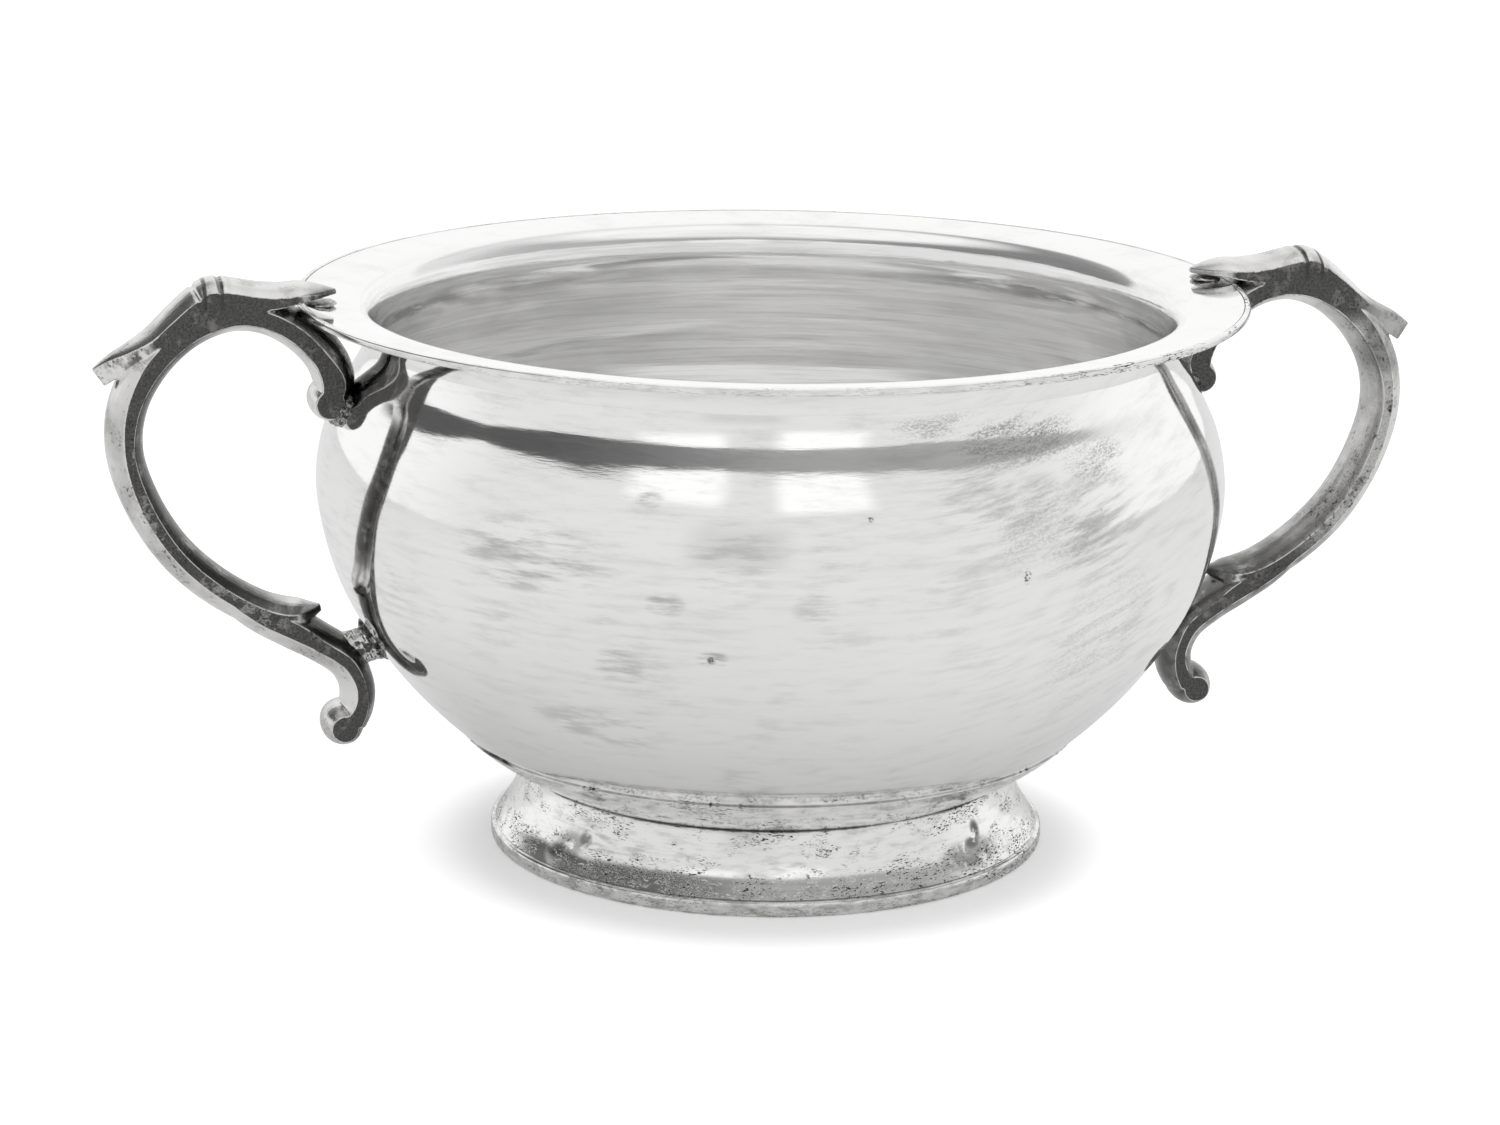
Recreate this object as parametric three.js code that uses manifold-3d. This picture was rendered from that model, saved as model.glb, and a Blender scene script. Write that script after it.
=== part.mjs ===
// Two-handled silver bowl on a spreading foot.
// Millimetres, +Z up. The foot stands on z = 0 and the bowl's axis is the z axis.
// The handles lie in the xz plane, one at each end of the x axis.
import * as THREE from 'three';
import { mergeVertices } from 'three/addons/utils/BufferGeometryUtils.js';
import Module from 'manifold-3d';

const wasm = await Module();
wasm.setup();

// Bowl
const rimRadius = 90;
const rimHeight = 107;
const bowlWall = 1.2;
const flangeRise = 0.8;

// Wire soldered round the edge of the rim
const rimWireWidth = 1.1;
const rimWireHeight = 1.35;
const rimWireRound = 0.35;

// Foot: a dished collar under the belly, a spreading ring and a wire round its base
const collarRadius = 59.5;
const collarThickness = 0.5;
const collarEdge = 0.3;
const collarStep = 4.8;
const footTopRadius = 46.7;
const footSpread = 6;
const footWall = 1.2;
const footWireHeight = 3.1;
const footWireOverhang = 0.9;
const footWireRound = 1.2;

// Handles: cast bars with flat sides, crowned outside and inside
const handleReach = 38;
const handleWidth = 12.4;
const sideThickness = 2;
const outerCrown = 3;
const innerCrown = 2;
const curlRadius = 2.7;
const curlCrown = 1;
const knobRadius = 2.5;
const knobCrown = 1.6;
const grooveDepth = 0.5;
const rightHandleLean = THREE.MathUtils.degToRad(2);
const rightHandleRise = 0.2;

// Struts between the belly and the lower scrolls, and the solder at each joint
const strutRadius = 4.6;
const strutSolderWidth = 1.3;
const strutSolderHeight = 1.4;
const shoulderSolderDepth = 2;
const shoulderSolderOverlap = 2.2;
const shoulderSolderLength = 11;
const rimSolderWidth = 8.8;
const rimSolderHeight = 1.2;
const rimSolderLead = 1.6;

// Gap left where two pieces meet, the distance that a cut piece first runs past the face
// that cuts it, and the distance within which two corners are one
const seam = 0.3;
const overrun = 2;
const weld = 0.0003;

// Facets
const roundSteps = 64;
const outlineSteps = 18;
const footSteps = 7;
const scrollSteps = 30;
const lowerScrollSteps = 14;
const strapSteps = 19;
const crownSteps = 4;
const smallRoundSteps = 20;
const lumpSteps = 14;

// Outside of the bowl from the middle of its underside to the narrowest place under the rim:
// shares of the rim radius and of the rim height.
const bellyShares = [
  [0, 0.062],
  [0.222, 0.07],
  [0.456, 0.12],
  [0.533, 0.15],
  [0.633, 0.2],
  [0.763, 0.299],
  [0.851, 0.393],
  [0.913, 0.486],
  [0.949, 0.579],
  [0.962, 0.673],
  [0.942, 0.766],
  [0.899, 0.841],
  [0.869, 0.884],
  [0.852, 0.916],
  [0.848, 0.932],
];

// Outward turn of the neck into the rim: shares of the way from the neck to the edge of the
// rim, and of the way up from the neck to the underside of the flat flange.
const turnShares = [
  [0.022, 0.377],
  [0.092, 0.698],
  [0.202, 0.906],
  [0.385, 1],
];

// Outside of the foot from its top to the base wire: shares of the way out from its top to
// its base, and of the way up from the wire to its top.
const footShares = [
  [0, 1],
  [0.31, 0.6],
  [0.536, 0.373],
  [0.764, 0.145],
  [1, 0],
];

// Inner edge of the collar, as a share of the radius of the foot's top.
const collarInnerShare = 0.97;

// Bars of the handle. In each row: place outward, a share of the reach outside the rim and
// of the rim radius inside it; place upward, a share of the rim height; then shares of the
// side thickness, of the outer crown, of the inner crown and of the half width.
const scrollShares = [
  [-0.059, 0.826, 1.8, 0.5, 0.4, 1],
  [-0.064, 0.858, 2.1, 0.8, 0.6, 1],
  [-0.041, 0.907, 1.5, 1.1, 0.8, 1],
  [0.024, 0.953, 1.45, 0.9, 0.9, 1],
  [0.174, 0.982, 1.5, 0.5, 0.95, 1],
  [0.342, 0.987, 1.5, 0.4, 0.95, 1],
  [0.532, 0.962, 1.5, 0.4, 0.95, 1],
  [0.708, 0.906, 1.5, 0.8, 0.95, 1],
  [0.816, 0.831, 1.15, 1.05, 0.95, 1],
  [0.837, 0.753, 0.9, 1.1, 0.95, 1],
  [0.768, 0.664, 1.05, 1, 0.95, 1],
  [0.621, 0.575, 1, 1, 1, 1],
  [0.432, 0.51, 1, 1, 1, 1],
  [0.224, 0.464, 1, 0.9, 1, 1],
  [0.103, 0.45, 1, 0.6, 0.95, 1],
  [0.005, 0.449, 0.8, 0.4, 0.8, 0.82],
  [-0.038, 0.456, 0.5, 0.05, 0.1, 0.12],
];
const lowerScrollShares = [
  [0.368, 0.492, 0.8, 0.8, 0.4, 1],
  [0.211, 0.455, 1.3, 0.9, 0.6, 1],
  [0.042, 0.425, 1.5, 1, 0.9, 1],
  [-0.034, 0.397, 1.1, 1, 1.1, 1],
  [-0.088, 0.364, 1.05, 1, 1.1, 1],
  [-0.111, 0.329, 0.95, 0.95, 1, 1],
  [-0.117, 0.303, 1.05, 0.9, 0.95, 1],
  [-0.111, 0.275, 1.3, 0.7, 0.9, 1],
  [-0.097, 0.254, 1.7, 0.3, 0.8, 1],
];
const strapShares = [
  [-0.078, 1.019, 0.4, 0.03, 0, 0.1],
  [-0.042, 1.018, 0.5, 0.35, 0, 0.62],
  [-0.004, 1.016, 0.75, 0.55, 0, 0.92],
  [0.089, 1.011, 0.95, 0.6, 0, 1],
  [0.216, 1.01, 1.45, 0.6, 0, 1],
  [0.326, 1.012, 2, 0.6, 0, 1],
  [0.411, 1.011, 2.35, 0.65, 0, 1],
  [0.484, 0.998, 2.15, 0.6, 0, 1],
  [0.584, 0.972, 1.85, 0.5, 0, 1],
  [0.689, 0.94, 1.75, 0.4, 0, 0.97],
  [0.795, 0.917, 1.75, 0.3, 0, 0.72],
  [0.889, 0.9, 1.8, 0.2, 0, 0.42],
  [0.971, 0.88, 1.9, 0.05, 0, 0.1],
];
// Grooves across the strap at its knuckle, counted in rows of the table above, and how
// freely the thickness of a bar bends from row to row
const groovePlaceShares = [5.65, 6.7];
const grooveHalfShare = 0.13;
const bendShare = 0.3;

// Ends of the scrolls, the point that the lean turns about, the seat of the strut on the
// scroll and the heights of the two joints on the belly, in the same shares, and the share of
// the strap's reach over the rim that has solder under it
const curlShares = [-0.057, 0.818];
const knobShares = [-0.079, 0.245];
const leanShares = [0.474, 0.935];
const strutSeatShares = [-0.088, 0.368];
const strutHeightShare = 0.396;
const rimSolderShare = 0.85;
const shoulderHeightShare = 0.811;

// Round surface of a plate or bar across its width: 1 on the middle line and 0 at the sides
const crown = (across) => 1 - across * across;

const handleX = (share) => (share < 0 ? rimRadius * (1 + share) : rimRadius + share * handleReach);
const handleZ = (share) => rimHeight * share;
const handlePoint = ([x, z]) => new THREE.Vector2(handleX(x), handleZ(z));

// Solids

function toSolid(geometry) {
  geometry.deleteAttribute('normal');
  geometry.deleteAttribute('uv');
  const merged = mergeVertices(geometry, weld);
  const places = merged.getAttribute('position').array;
  const corners = [];
  for (let i = 0; i < merged.index.count; i += 3) {
    const [a, b, c] = merged.index.array.slice(i, i + 3);
    if (a !== b && b !== c && c !== a) corners.push(a, b, c);
  }
  const mesh = new wasm.Mesh({
    numProp: 3,
    vertProperties: Float32Array.from(places),
    triVerts: Uint32Array.from(corners),
  });
  return new wasm.Manifold(mesh);
}

function toGeometry(solid) {
  const mesh = solid.getMesh();
  const geometry = new THREE.BufferGeometry();
  const places = Float32Array.from(mesh.vertProperties);
  geometry.setAttribute('position', new THREE.BufferAttribute(places, 3));
  geometry.setIndex(new THREE.BufferAttribute(Uint32Array.from(mesh.triVerts), 1));
  geometry.computeVertexNormals();
  return geometry;
}

// Solid of revolution about z from a profile of (radius, height) points that runs
// anticlockwise, either closed on itself or with both ends on the axis
function turned(profile, steps = roundSteps) {
  const onAxis = profile[0].x === 0;
  const line = onAxis ? profile : [...profile, profile[0]];
  const geometry = new THREE.LatheGeometry(line, steps);
  geometry.rotateX(Math.PI / 2);
  return geometry;
}

function joined(solids) {
  return solids.reduce((whole, solid) => whole.add(solid));
}

function point(x, y) {
  return new THREE.Vector2(x, y);
}

// Line moved sideways, to its right as it runs. Its points on the axis stay there.
function offsetLine(line, distance) {
  return line.map((place, i) => {
    const along = line[Math.min(i + 1, line.length - 1)].clone().sub(line[Math.max(i - 1, 0)]);
    along.normalize();
    const moved = point(place.x + along.y * distance, place.y - along.x * distance);
    if (place.x === 0) moved.set(0, place.y - distance);
    return moved;
  });
}

function smoothLine(points, steps) {
  const controls = points.map(({ x, y }) => new THREE.Vector3(x, y, 0));
  const curve = new THREE.CatmullRomCurve3(controls, false, 'centripetal');
  return curve.getPoints(steps).map(({ x, y }) => point(Math.max(x, 0), y));
}

// Bowl

const edgeRadius = rimRadius - rimWireWidth - seam;
const neck = point(rimRadius * bellyShares.at(-1)[0], rimHeight * bellyShares.at(-1)[1]);
const flatStart = neck.x + (rimRadius - neck.x) * turnShares.at(-1)[0];
const flangeSlope = flangeRise / (rimRadius - flatStart);
const flangeTop = (radius) => rimHeight - (rimRadius - radius) * flangeSlope;
const flangeUnderside = (radius) => flangeTop(radius) - bowlWall;

function bowlOutside() {
  const belly = bellyShares.map(([r, z]) => point(rimRadius * r, rimHeight * z));
  const rise = flangeUnderside(flatStart) - neck.y;
  const turn = turnShares.map(([r, z]) => (
    point(neck.x + (rimRadius - neck.x) * r, neck.y + rise * z)
  ));
  const line = smoothLine([...belly, ...turn], outlineSteps);
  return [...line, point(edgeRadius, flangeUnderside(edgeRadius))];
}

const outside = bowlOutside();

function bowlSolid() {
  const inside = offsetLine(outside, -bowlWall);
  return turned([...outside, ...inside.reverse()]);
}

// Place on the outside of the bowl where its height, or its radius on the way out to its
// widest line, has the value asked for, with the direction square to the surface there
function bowlPlace(axis, value) {
  const after = outside.findIndex((place) => place[axis] >= value);
  const from = outside[after - 1];
  const to = outside[after];
  const share = (value - from[axis]) / (to[axis] - from[axis]);
  const along = to.clone().sub(from).normalize();
  return { place: from.clone().lerp(to, share), out: point(along.y, -along.x) };
}

// Bowl and rim wire with their inside filled, larger by the gap, to cut what meets them
function bowlCutter() {
  const skin = offsetLine(outside, seam);
  const under = flangeUnderside(rimRadius) - seam;
  const top = rimHeight + seam;
  const flatTop = flangeTop(flatStart) + seam;
  return toSolid(turned([
    ...skin.filter((place) => place.x < edgeRadius),
    point(rimRadius + seam, under),
    point(rimRadius + seam, top),
    point(flatStart, flatTop),
    point(0, flatTop),
  ]));
}

function rimWire() {
  const inner = rimRadius - rimWireWidth;
  const bottom = rimHeight - rimWireHeight;
  return turned([
    point(inner, bottom),
    point(rimRadius - rimWireRound, bottom),
    point(rimRadius, bottom + rimWireRound),
    point(rimRadius, rimHeight - rimWireRound),
    point(rimRadius - rimWireRound, rimHeight),
    point(inner, rimHeight),
  ]);
}

// Foot

const footRadius = footTopRadius + footSpread;
const collarInner = footTopRadius * collarInnerShare;

// The collar's line along the bowl, from its edge inward, in steps no wider than one collar
// step, and its distance from the bowl at a share of the way in
function collarLine(distance) {
  const width = collarRadius - collarInner;
  const steps = Math.ceil(width / collarStep);
  return Array.from({ length: steps + 1 }, (_, i) => {
    const share = i / steps;
    const { place, out } = bowlPlace('x', collarRadius - width * share);
    return place.addScaledVector(out, distance(share));
  });
}

function footCollar() {
  const growth = collarThickness - collarEdge;
  const top = collarLine(() => seam);
  const under = collarLine((share) => seam + collarEdge + growth * (1 - (1 - share) ** 2));
  return turned([...under.reverse(), ...top]);
}

function footRing() {
  const { place, out } = bowlPlace('x', footTopRadius);
  const top = place.addScaledVector(out, 2 * seam + collarThickness);
  const base = point(footRadius, footWireHeight + seam);
  const controls = footShares.map(([r, z]) => (
    point(top.x + (base.x - top.x) * r, base.y + (top.y - base.y) * z)
  ));
  const outer = smoothLine(controls, footSteps).reverse();
  const inner = offsetLine(outer, -footWall);
  inner[0] = point(base.x - footWall, base.y);
  const slope = out.x / out.y;
  const last = inner.length - 1;
  inner[last] = point(top.x - footWall, top.y + footWall * slope);
  return turned([...outer, ...inner.reverse()]);
}

function footWire() {
  const inner = footRadius - footWall;
  const outer = footRadius + footWireOverhang;
  return turned([
    point(inner, 0),
    point(outer - footWireRound, 0),
    point(outer, footWireRound),
    point(outer, footWireHeight - footWireRound),
    point(outer - footWireRound, footWireHeight),
    point(inner, footWireHeight),
  ]);
}

// Handles, in a frame with x pointing out from the bowl's axis

// One bar that follows a row of places. Its outer side is on the left as it runs.
function bar(rows, steps, grow, grooves = []) {
  const places = rows.map(([x, z]) => new THREE.Vector3(handleX(x), handleZ(z), 0));
  const sizes = rows.map(([, , side, outer, inner, width]) => [
    new THREE.Vector3(side * sideThickness, outer * outerCrown, inner * innerCrown),
    new THREE.Vector3((width * handleWidth) / 2, 0, 0),
  ]);
  const path = new THREE.CatmullRomCurve3(places, false, 'centripetal');
  const [thick, wide] = [0, 1].map((i) => (
    new THREE.CatmullRomCurve3(sizes.map((size) => size[i]), false, 'catmullrom', bendShare)
  ));
  const spans = rows.length - 1;
  const stations = Array.from({ length: steps + 1 }, (_, i) => ({ at: i / steps, cut: 0 }));
  for (const groove of grooves) {
    stations.push({ at: (groove - grooveHalfShare) / spans, cut: 0 });
    stations.push({ at: groove / spans, cut: grooveDepth });
    stations.push({ at: (groove + grooveHalfShare) / spans, cut: 0 });
  }
  const spaced = stations.filter(({ at, cut }) => cut > 0 || grooves.every((groove) => (
    Math.abs(at * spans - groove) >= grooveHalfShare - weld
  )));
  spaced.sort((a, b) => a.at - b.at);
  const across = Array.from({ length: crownSteps + 1 }, (_, i) => (2 * i) / crownSteps - 1);
  const corners = [];
  for (const { at, cut } of spaced) {
    const centre = path.getPoint(at);
    const along = path.getTangent(at);
    const left = new THREE.Vector3(-along.y, along.x, 0);
    const [side, outer, inner] = thick.getPoint(at).toArray();
    const half = wide.getPoint(at).x + grow;
    for (const u of across) {
      const out = side / 2 + outer * crown(u) - cut + grow;
      corners.push(centre.x + left.x * out, u * half, centre.y + left.y * out);
    }
    for (const u of across.toReversed()) {
      const back = side / 2 + inner * crown(u) + grow;
      corners.push(centre.x - left.x * back, u * half, centre.y - left.y * back);
    }
  }
  return toSolid(loft(corners, 2 * across.length));
}

// Closed skin over rings of corners, each ring with as many corners as the others
function loft(corners, ringSize) {
  const rings = corners.length / 3 / ringSize;
  const faces = [];
  for (let ring = 0; ring + 1 < rings; ring += 1) {
    for (let i = 0; i < ringSize; i += 1) {
      const a = ring * ringSize + i;
      const b = ring * ringSize + ((i + 1) % ringSize);
      faces.push(a, b + ringSize, b, a, a + ringSize, b + ringSize);
    }
  }
  const last = (rings - 1) * ringSize;
  for (let i = 1; i + 1 < ringSize; i += 1) {
    faces.push(0, i, i + 1);
    faces.push(last, last + i + 1, last + i);
  }
  const geometry = new THREE.BufferGeometry();
  geometry.setAttribute('position', new THREE.Float32BufferAttribute(corners, 3));
  geometry.setIndex(faces);
  return geometry;
}

// Round end of a scroll: a drum across the handle with a crowned rim
function drum(shares, radius, crownHeight, grow) {
  const half = handleWidth / 2 + grow;
  const across = Array.from({ length: crownSteps + 1 }, (_, i) => (2 * i) / crownSteps - 1);
  const rim = across.map((u) => point(radius + crownHeight * crown(u) + grow, u * half));
  const geometry = new THREE.LatheGeometry([point(0, -half), ...rim, point(0, half)], smallRoundSteps);
  const centre = handlePoint(shares);
  geometry.translate(centre.x, 0, centre.y);
  return toSolid(geometry);
}

function leaned(solid, { lean, rise }) {
  const pivot = handlePoint(leanShares);
  const there = new THREE.Matrix4().makeTranslation(pivot.x, 0, pivot.y + rise);
  const turn = new THREE.Matrix4().makeRotationY(-lean);
  const back = new THREE.Matrix4().makeTranslation(-pivot.x, 0, -pivot.y);
  return toSolid(toGeometry(solid).applyMatrix4(there.multiply(turn).multiply(back)));
}

function handleSolid(setting, grow) {
  return leaned(joined([
    bar(scrollShares, scrollSteps, grow),
    bar(lowerScrollShares, lowerScrollSteps, grow),
    bar(strapShares, strapSteps, grow, groovePlaceShares),
    drum(curlShares, curlRadius, curlCrown, grow),
    drum(knobShares, knobRadius, knobCrown, grow),
  ]), setting);
}

function leanedPoint(shares, { lean, rise }) {
  const place = handlePoint(shares).rotateAround(handlePoint(leanShares), lean);
  return place.add(point(0, rise));
}

// Cylinder between two places in the xz plane
function rod(from, to, radius) {
  const along = new THREE.Vector3(to.x - from.x, 0, to.y - from.y);
  const geometry = new THREE.CylinderGeometry(radius, radius, along.length(), smallRoundSteps);
  geometry.applyQuaternion(
    new THREE.Quaternion().setFromUnitVectors(new THREE.Vector3(0, 1, 0), along.normalize()),
  );
  geometry.translate((from.x + to.x) / 2, 0, (from.y + to.y) / 2);
  return toSolid(geometry);
}

// Lump of solder: a round body, flattened along its own height, turned to stand on a surface
function lump(place, up, alongRadius, acrossRadius, height) {
  const geometry = new THREE.SphereGeometry(1, lumpSteps, lumpSteps / 2);
  geometry.scale(alongRadius, height, acrossRadius);
  const sideways = new THREE.Vector3(up.y, 0, -up.x);
  const upward = new THREE.Vector3(up.x, 0, up.y);
  const basis = new THREE.Matrix4().makeBasis(
    sideways,
    upward,
    new THREE.Vector3().crossVectors(sideways, upward),
  );
  geometry.applyMatrix4(basis);
  geometry.translate(place.x, 0, place.y);
  return toSolid(geometry);
}

function strutParts(setting, bowl, handle) {
  const { place, out } = bowlPlace('y', rimHeight * strutHeightShare);
  const seat = leanedPoint(strutSeatShares, setting);
  const along = seat.clone().sub(place).normalize();
  const inside = place.clone().addScaledVector(along, -overrun);
  const strut = rod(inside, seat, strutRadius).subtract(bowl).subtract(handle);
  const clear = rod(
    inside.clone().addScaledVector(along, -overrun),
    seat,
    strutRadius + seam,
  );
  const width = strutRadius + strutSolderWidth;
  const solder = lump(place, out, width, width, strutSolderHeight + seam)
    .subtract(bowl)
    .subtract(clear)
    .subtract(handle);
  return { strut, solder };
}

function shoulderSolder(bowl, handle) {
  const { place, out } = bowlPlace('y', rimHeight * shoulderHeightShare);
  const across = handleWidth / 2 + shoulderSolderOverlap;
  return lump(place, out, shoulderSolderLength / 2, across, shoulderSolderDepth)
    .subtract(bowl)
    .subtract(handle);
}

// Solder under the strap on the rim. It runs a little past the tip of the strap.
function rimSolder(setting, bowl, handle) {
  const tip = leanedPoint(strapShares[0], setting);
  const length = rimSolderLead + (rimRadius - tip.x) * rimSolderShare;
  const radius = tip.x - rimSolderLead + length / 2;
  const place = point(radius, flangeTop(radius) + seam);
  const up = point(-flangeSlope, 1).normalize();
  return lump(place, up, length / 2, rimSolderWidth / 2, rimSolderHeight)
    .subtract(bowl)
    .subtract(handle);
}

// Finishes

const bodySilver = { color: 0xe9e8e5, roughness: 0.22 };
const footSilver = { color: 0xd8d7d3, roughness: 0.3 };
const wireSilver = { color: 0xc4c3bf, roughness: 0.35 };
const castSilver = { color: 0x9b9a97, roughness: 0.45 };
const solderSilver = { color: 0x83817d, roughness: 0.6 };

function mesh(name, geometry, finish) {
  const material = new THREE.MeshStandardMaterial({ ...finish, metalness: 1 });
  const piece = new THREE.Mesh(geometry, material);
  piece.name = name;
  return piece;
}

// One side: the handle, its strut and the solder that holds them, turned to its end
function side(name, turn, setting) {
  const bowl = bowlCutter();
  const handle = handleSolid(setting, 0).subtract(bowl);
  const clearance = handleSolid(setting, seam);
  const { strut, solder } = strutParts(setting, bowl, clearance);
  const group = new THREE.Group();
  group.add(
    mesh(`handle_${name}`, toGeometry(handle), castSilver),
    mesh(`strut_${name}`, toGeometry(strut), castSilver),
    mesh(`strut_solder_${name}`, toGeometry(solder), solderSilver),
    mesh(`shoulder_solder_${name}`, toGeometry(shoulderSolder(bowl, clearance)), solderSilver),
    mesh(`rim_solder_${name}`, toGeometry(rimSolder(setting, bowl, clearance)), solderSilver),
  );
  group.rotation.z = turn;
  return group;
}

const handledBowl = new THREE.Group();
handledBowl.name = 'handled_bowl';
handledBowl.add(
  mesh('bowl', bowlSolid(), bodySilver),
  mesh('rim_wire', rimWire(), wireSilver),
  mesh('foot_collar', footCollar(), footSilver),
  mesh('foot', footRing(), footSilver),
  mesh('foot_base_wire', footWire(), wireSilver),
  side('left', Math.PI, { lean: 0, rise: 0 }),
  side('right', 0, { lean: rightHandleLean, rise: rightHandleRise }),
);

export default handledBowl;
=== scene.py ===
import math

import bmesh
import bpy
import numpy as np
from mathutils import Matrix, Vector, noise


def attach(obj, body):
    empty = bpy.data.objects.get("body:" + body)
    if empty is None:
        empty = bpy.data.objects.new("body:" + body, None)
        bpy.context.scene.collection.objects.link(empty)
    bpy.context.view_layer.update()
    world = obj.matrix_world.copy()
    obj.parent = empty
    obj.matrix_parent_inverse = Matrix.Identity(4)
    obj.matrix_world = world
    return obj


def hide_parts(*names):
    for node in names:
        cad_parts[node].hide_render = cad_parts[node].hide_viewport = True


MM = 0.001
# A radius below this, in millimetres, is on the axis
ON_AXIS = 1e-6

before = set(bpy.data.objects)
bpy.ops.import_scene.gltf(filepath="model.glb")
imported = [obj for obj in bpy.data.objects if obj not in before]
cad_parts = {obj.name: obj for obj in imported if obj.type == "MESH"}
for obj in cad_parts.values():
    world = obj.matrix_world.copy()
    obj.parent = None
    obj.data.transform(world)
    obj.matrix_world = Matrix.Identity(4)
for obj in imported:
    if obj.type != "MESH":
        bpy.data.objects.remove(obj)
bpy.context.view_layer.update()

# Main sizes, as in the solids
RIM_RADIUS = 90.0
RIM_HEIGHT = 107.0
BOWL_WALL = 1.2
FLANGE_RISE = 0.8
RIM_WIRE_WIDTH = 1.1
RIM_WIRE_HEIGHT = 1.35
COLLAR_RADIUS = 59.5
COLLAR_THICKNESS = 0.5
COLLAR_EDGE = 0.12
COLLAR_INNER_SHARE = 0.97
FOOT_TOP_RADIUS = 46.7
FOOT_RADIUS = 52.7
FOOT_WALL = 1.2
FOOT_WIRE_HEIGHT = 3.1
FOOT_WIRE_RADIUS = 53.6
HANDLE_REACH = 38.0
HANDLE_WIDTH = 12.4
SIDE_THICKNESS = 2.0
OUTER_CROWN = 3.0
INNER_CROWN = 2.0
SEAT_GAP = 0.3
RIGHT_LEAN = math.radians(2)
RIGHT_RISE = 0.2
# Sizes of the smooth pieces alone: room between meshes that touch, how far the foot's top
# goes into the collar, and the corners of the wires
TOUCH = 0.02
FOOT_LAP = 0.25
RIM_WIRE_CORNERS = (0.1, 0.5, 0.45, 0.08)
FOOT_WIRE_CORNERS = (0.2, 1.25, 1.1, 0.1)
# The right curl is drawn in to the bowl by this much, and so is what lies near it
RIGHT_TUCK = 1.1
CURL_OUT = (95, 91)
CURL_TOP = (98, 90)
CURL_LOW = 72

# Outside of the belly, as shares of the rim's radius and height
BELLY = [
    (0, 0.062), (0.222, 0.07), (0.456, 0.12), (0.533, 0.15), (0.633, 0.2), (0.763, 0.299),
    (0.851, 0.393), (0.913, 0.486), (0.949, 0.579), (0.962, 0.673), (0.942, 0.766),
    (0.899, 0.841), (0.869, 0.884), (0.852, 0.916), (0.848, 0.932),
]
# From the neck to the flange, as shares of the way out and up
TURN = [(0.022, 0.377), (0.092, 0.698), (0.202, 0.906), (0.385, 1)]
FLAT_RADII = (84.5, 87)
OUTLINE_STEP = 0.4
OUTLINE_SOFTNESS = 0.9
# Outer face of the foot, upward from its wire: radius and height
FOOT = [(51.7, 4.6), (50.8, 5.9), (50.0, 7.2), (49.2, 8.8), (48.3, 11.0), (47.6, 13.0)]

# Bars of a handle: outward, upward, side thickness, outer crown, inner crown, half width.
# Outward is a share of the reach beyond the rim, or of the rim's radius where it is negative.
SCROLL = [
    (-0.059, 0.838, 1.8, 0.5, 0.4, 1), (-0.064, 0.866, 2.1, 0.8, 0.6, 1),
    (-0.041, 0.907, 1.5, 1.1, 0.8, 1), (0.024, 0.953, 1.45, 0.9, 0.9, 1),
    (0.174, 0.982, 1.5, 0.5, 0.95, 1), (0.342, 0.987, 1.5, 0.4, 0.95, 1),
    (0.532, 0.962, 1.5, 0.4, 0.95, 1), (0.708, 0.906, 1.5, 0.8, 0.95, 1),
    (0.816, 0.831, 1.15, 1.05, 0.95, 1), (0.837, 0.753, 0.9, 1.1, 0.95, 1),
    (0.768, 0.664, 1.05, 1, 0.95, 1), (0.621, 0.575, 1, 1, 1, 1),
    (0.432, 0.51, 1, 1, 1, 1), (0.224, 0.464, 1, 0.9, 1, 1),
    (0.103, 0.45, 1, 0.6, 0.95, 1), (0.005, 0.449, 0.8, 0.4, 0.8, 0.82),
    (-0.038, 0.456, 0.5, 0.05, 0.1, 0.12),
]
LOWER_SCROLL = [
    (0.368, 0.492, 0.8, 0.8, 0.4, 1), (0.211, 0.455, 1.3, 0.9, 0.6, 1),
    (0.042, 0.425, 1.5, 1, 0.9, 1), (-0.034, 0.397, 1.1, 1, 1.1, 1),
    (-0.088, 0.364, 1.05, 1, 1.1, 1), (-0.111, 0.329, 0.95, 0.95, 1, 1),
    (-0.117, 0.303, 1.05, 0.9, 0.95, 1), (-0.111, 0.275, 1.3, 0.7, 0.9, 1),
    (-0.097, 0.254, 1.7, 0.3, 0.8, 1),
]
STRAP = [
    (-0.078, 1.019, 0.4, 0.03, 0, 0.1), (-0.042, 1.018, 0.5, 0.35, 0, 0.62),
    (-0.004, 1.016, 0.75, 0.55, 0, 0.92), (0.089, 1.011, 0.95, 0.6, 0, 1),
    (0.216, 1.01, 1.45, 0.6, 0, 1), (0.326, 1.012, 2, 0.6, 0, 1),
    (0.411, 1.011, 2.35, 0.65, 0, 1), (0.484, 0.998, 2.15, 0.6, 0, 1),
    (0.584, 0.972, 1.85, 0.5, 0, 1), (0.689, 0.94, 1.75, 0.4, 0, 0.97),
    (0.795, 0.917, 1.75, 0.3, 0, 0.72), (0.889, 0.9, 1.8, 0.2, 0, 0.42),
    (0.971, 0.88, 1.9, 0.05, 0, 0.1),
]
# Grooves across the knuckle, counted in rows of the strap
STRAP_GROOVES = (5.65, 6.7)
GROOVE_DEPTH = 0.55
GROOVE_SPREAD = 0.09
# Outward and upward shares, then a drum's radius and crown
CURL = (-0.057, 0.830)
CURL_DRUM = (2.7, 1.0)
KNOB = (-0.079, 0.245)
KNOB_DRUM = (2.5, 1.6)
# The right handle leans about its knuckle
LEAN_PIVOT = (0.474, 0.935)
# Stretches between two rows, and the size of the grid on which the parts are fused
BAR_STEPS = 14
VOXEL = 0.22

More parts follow.
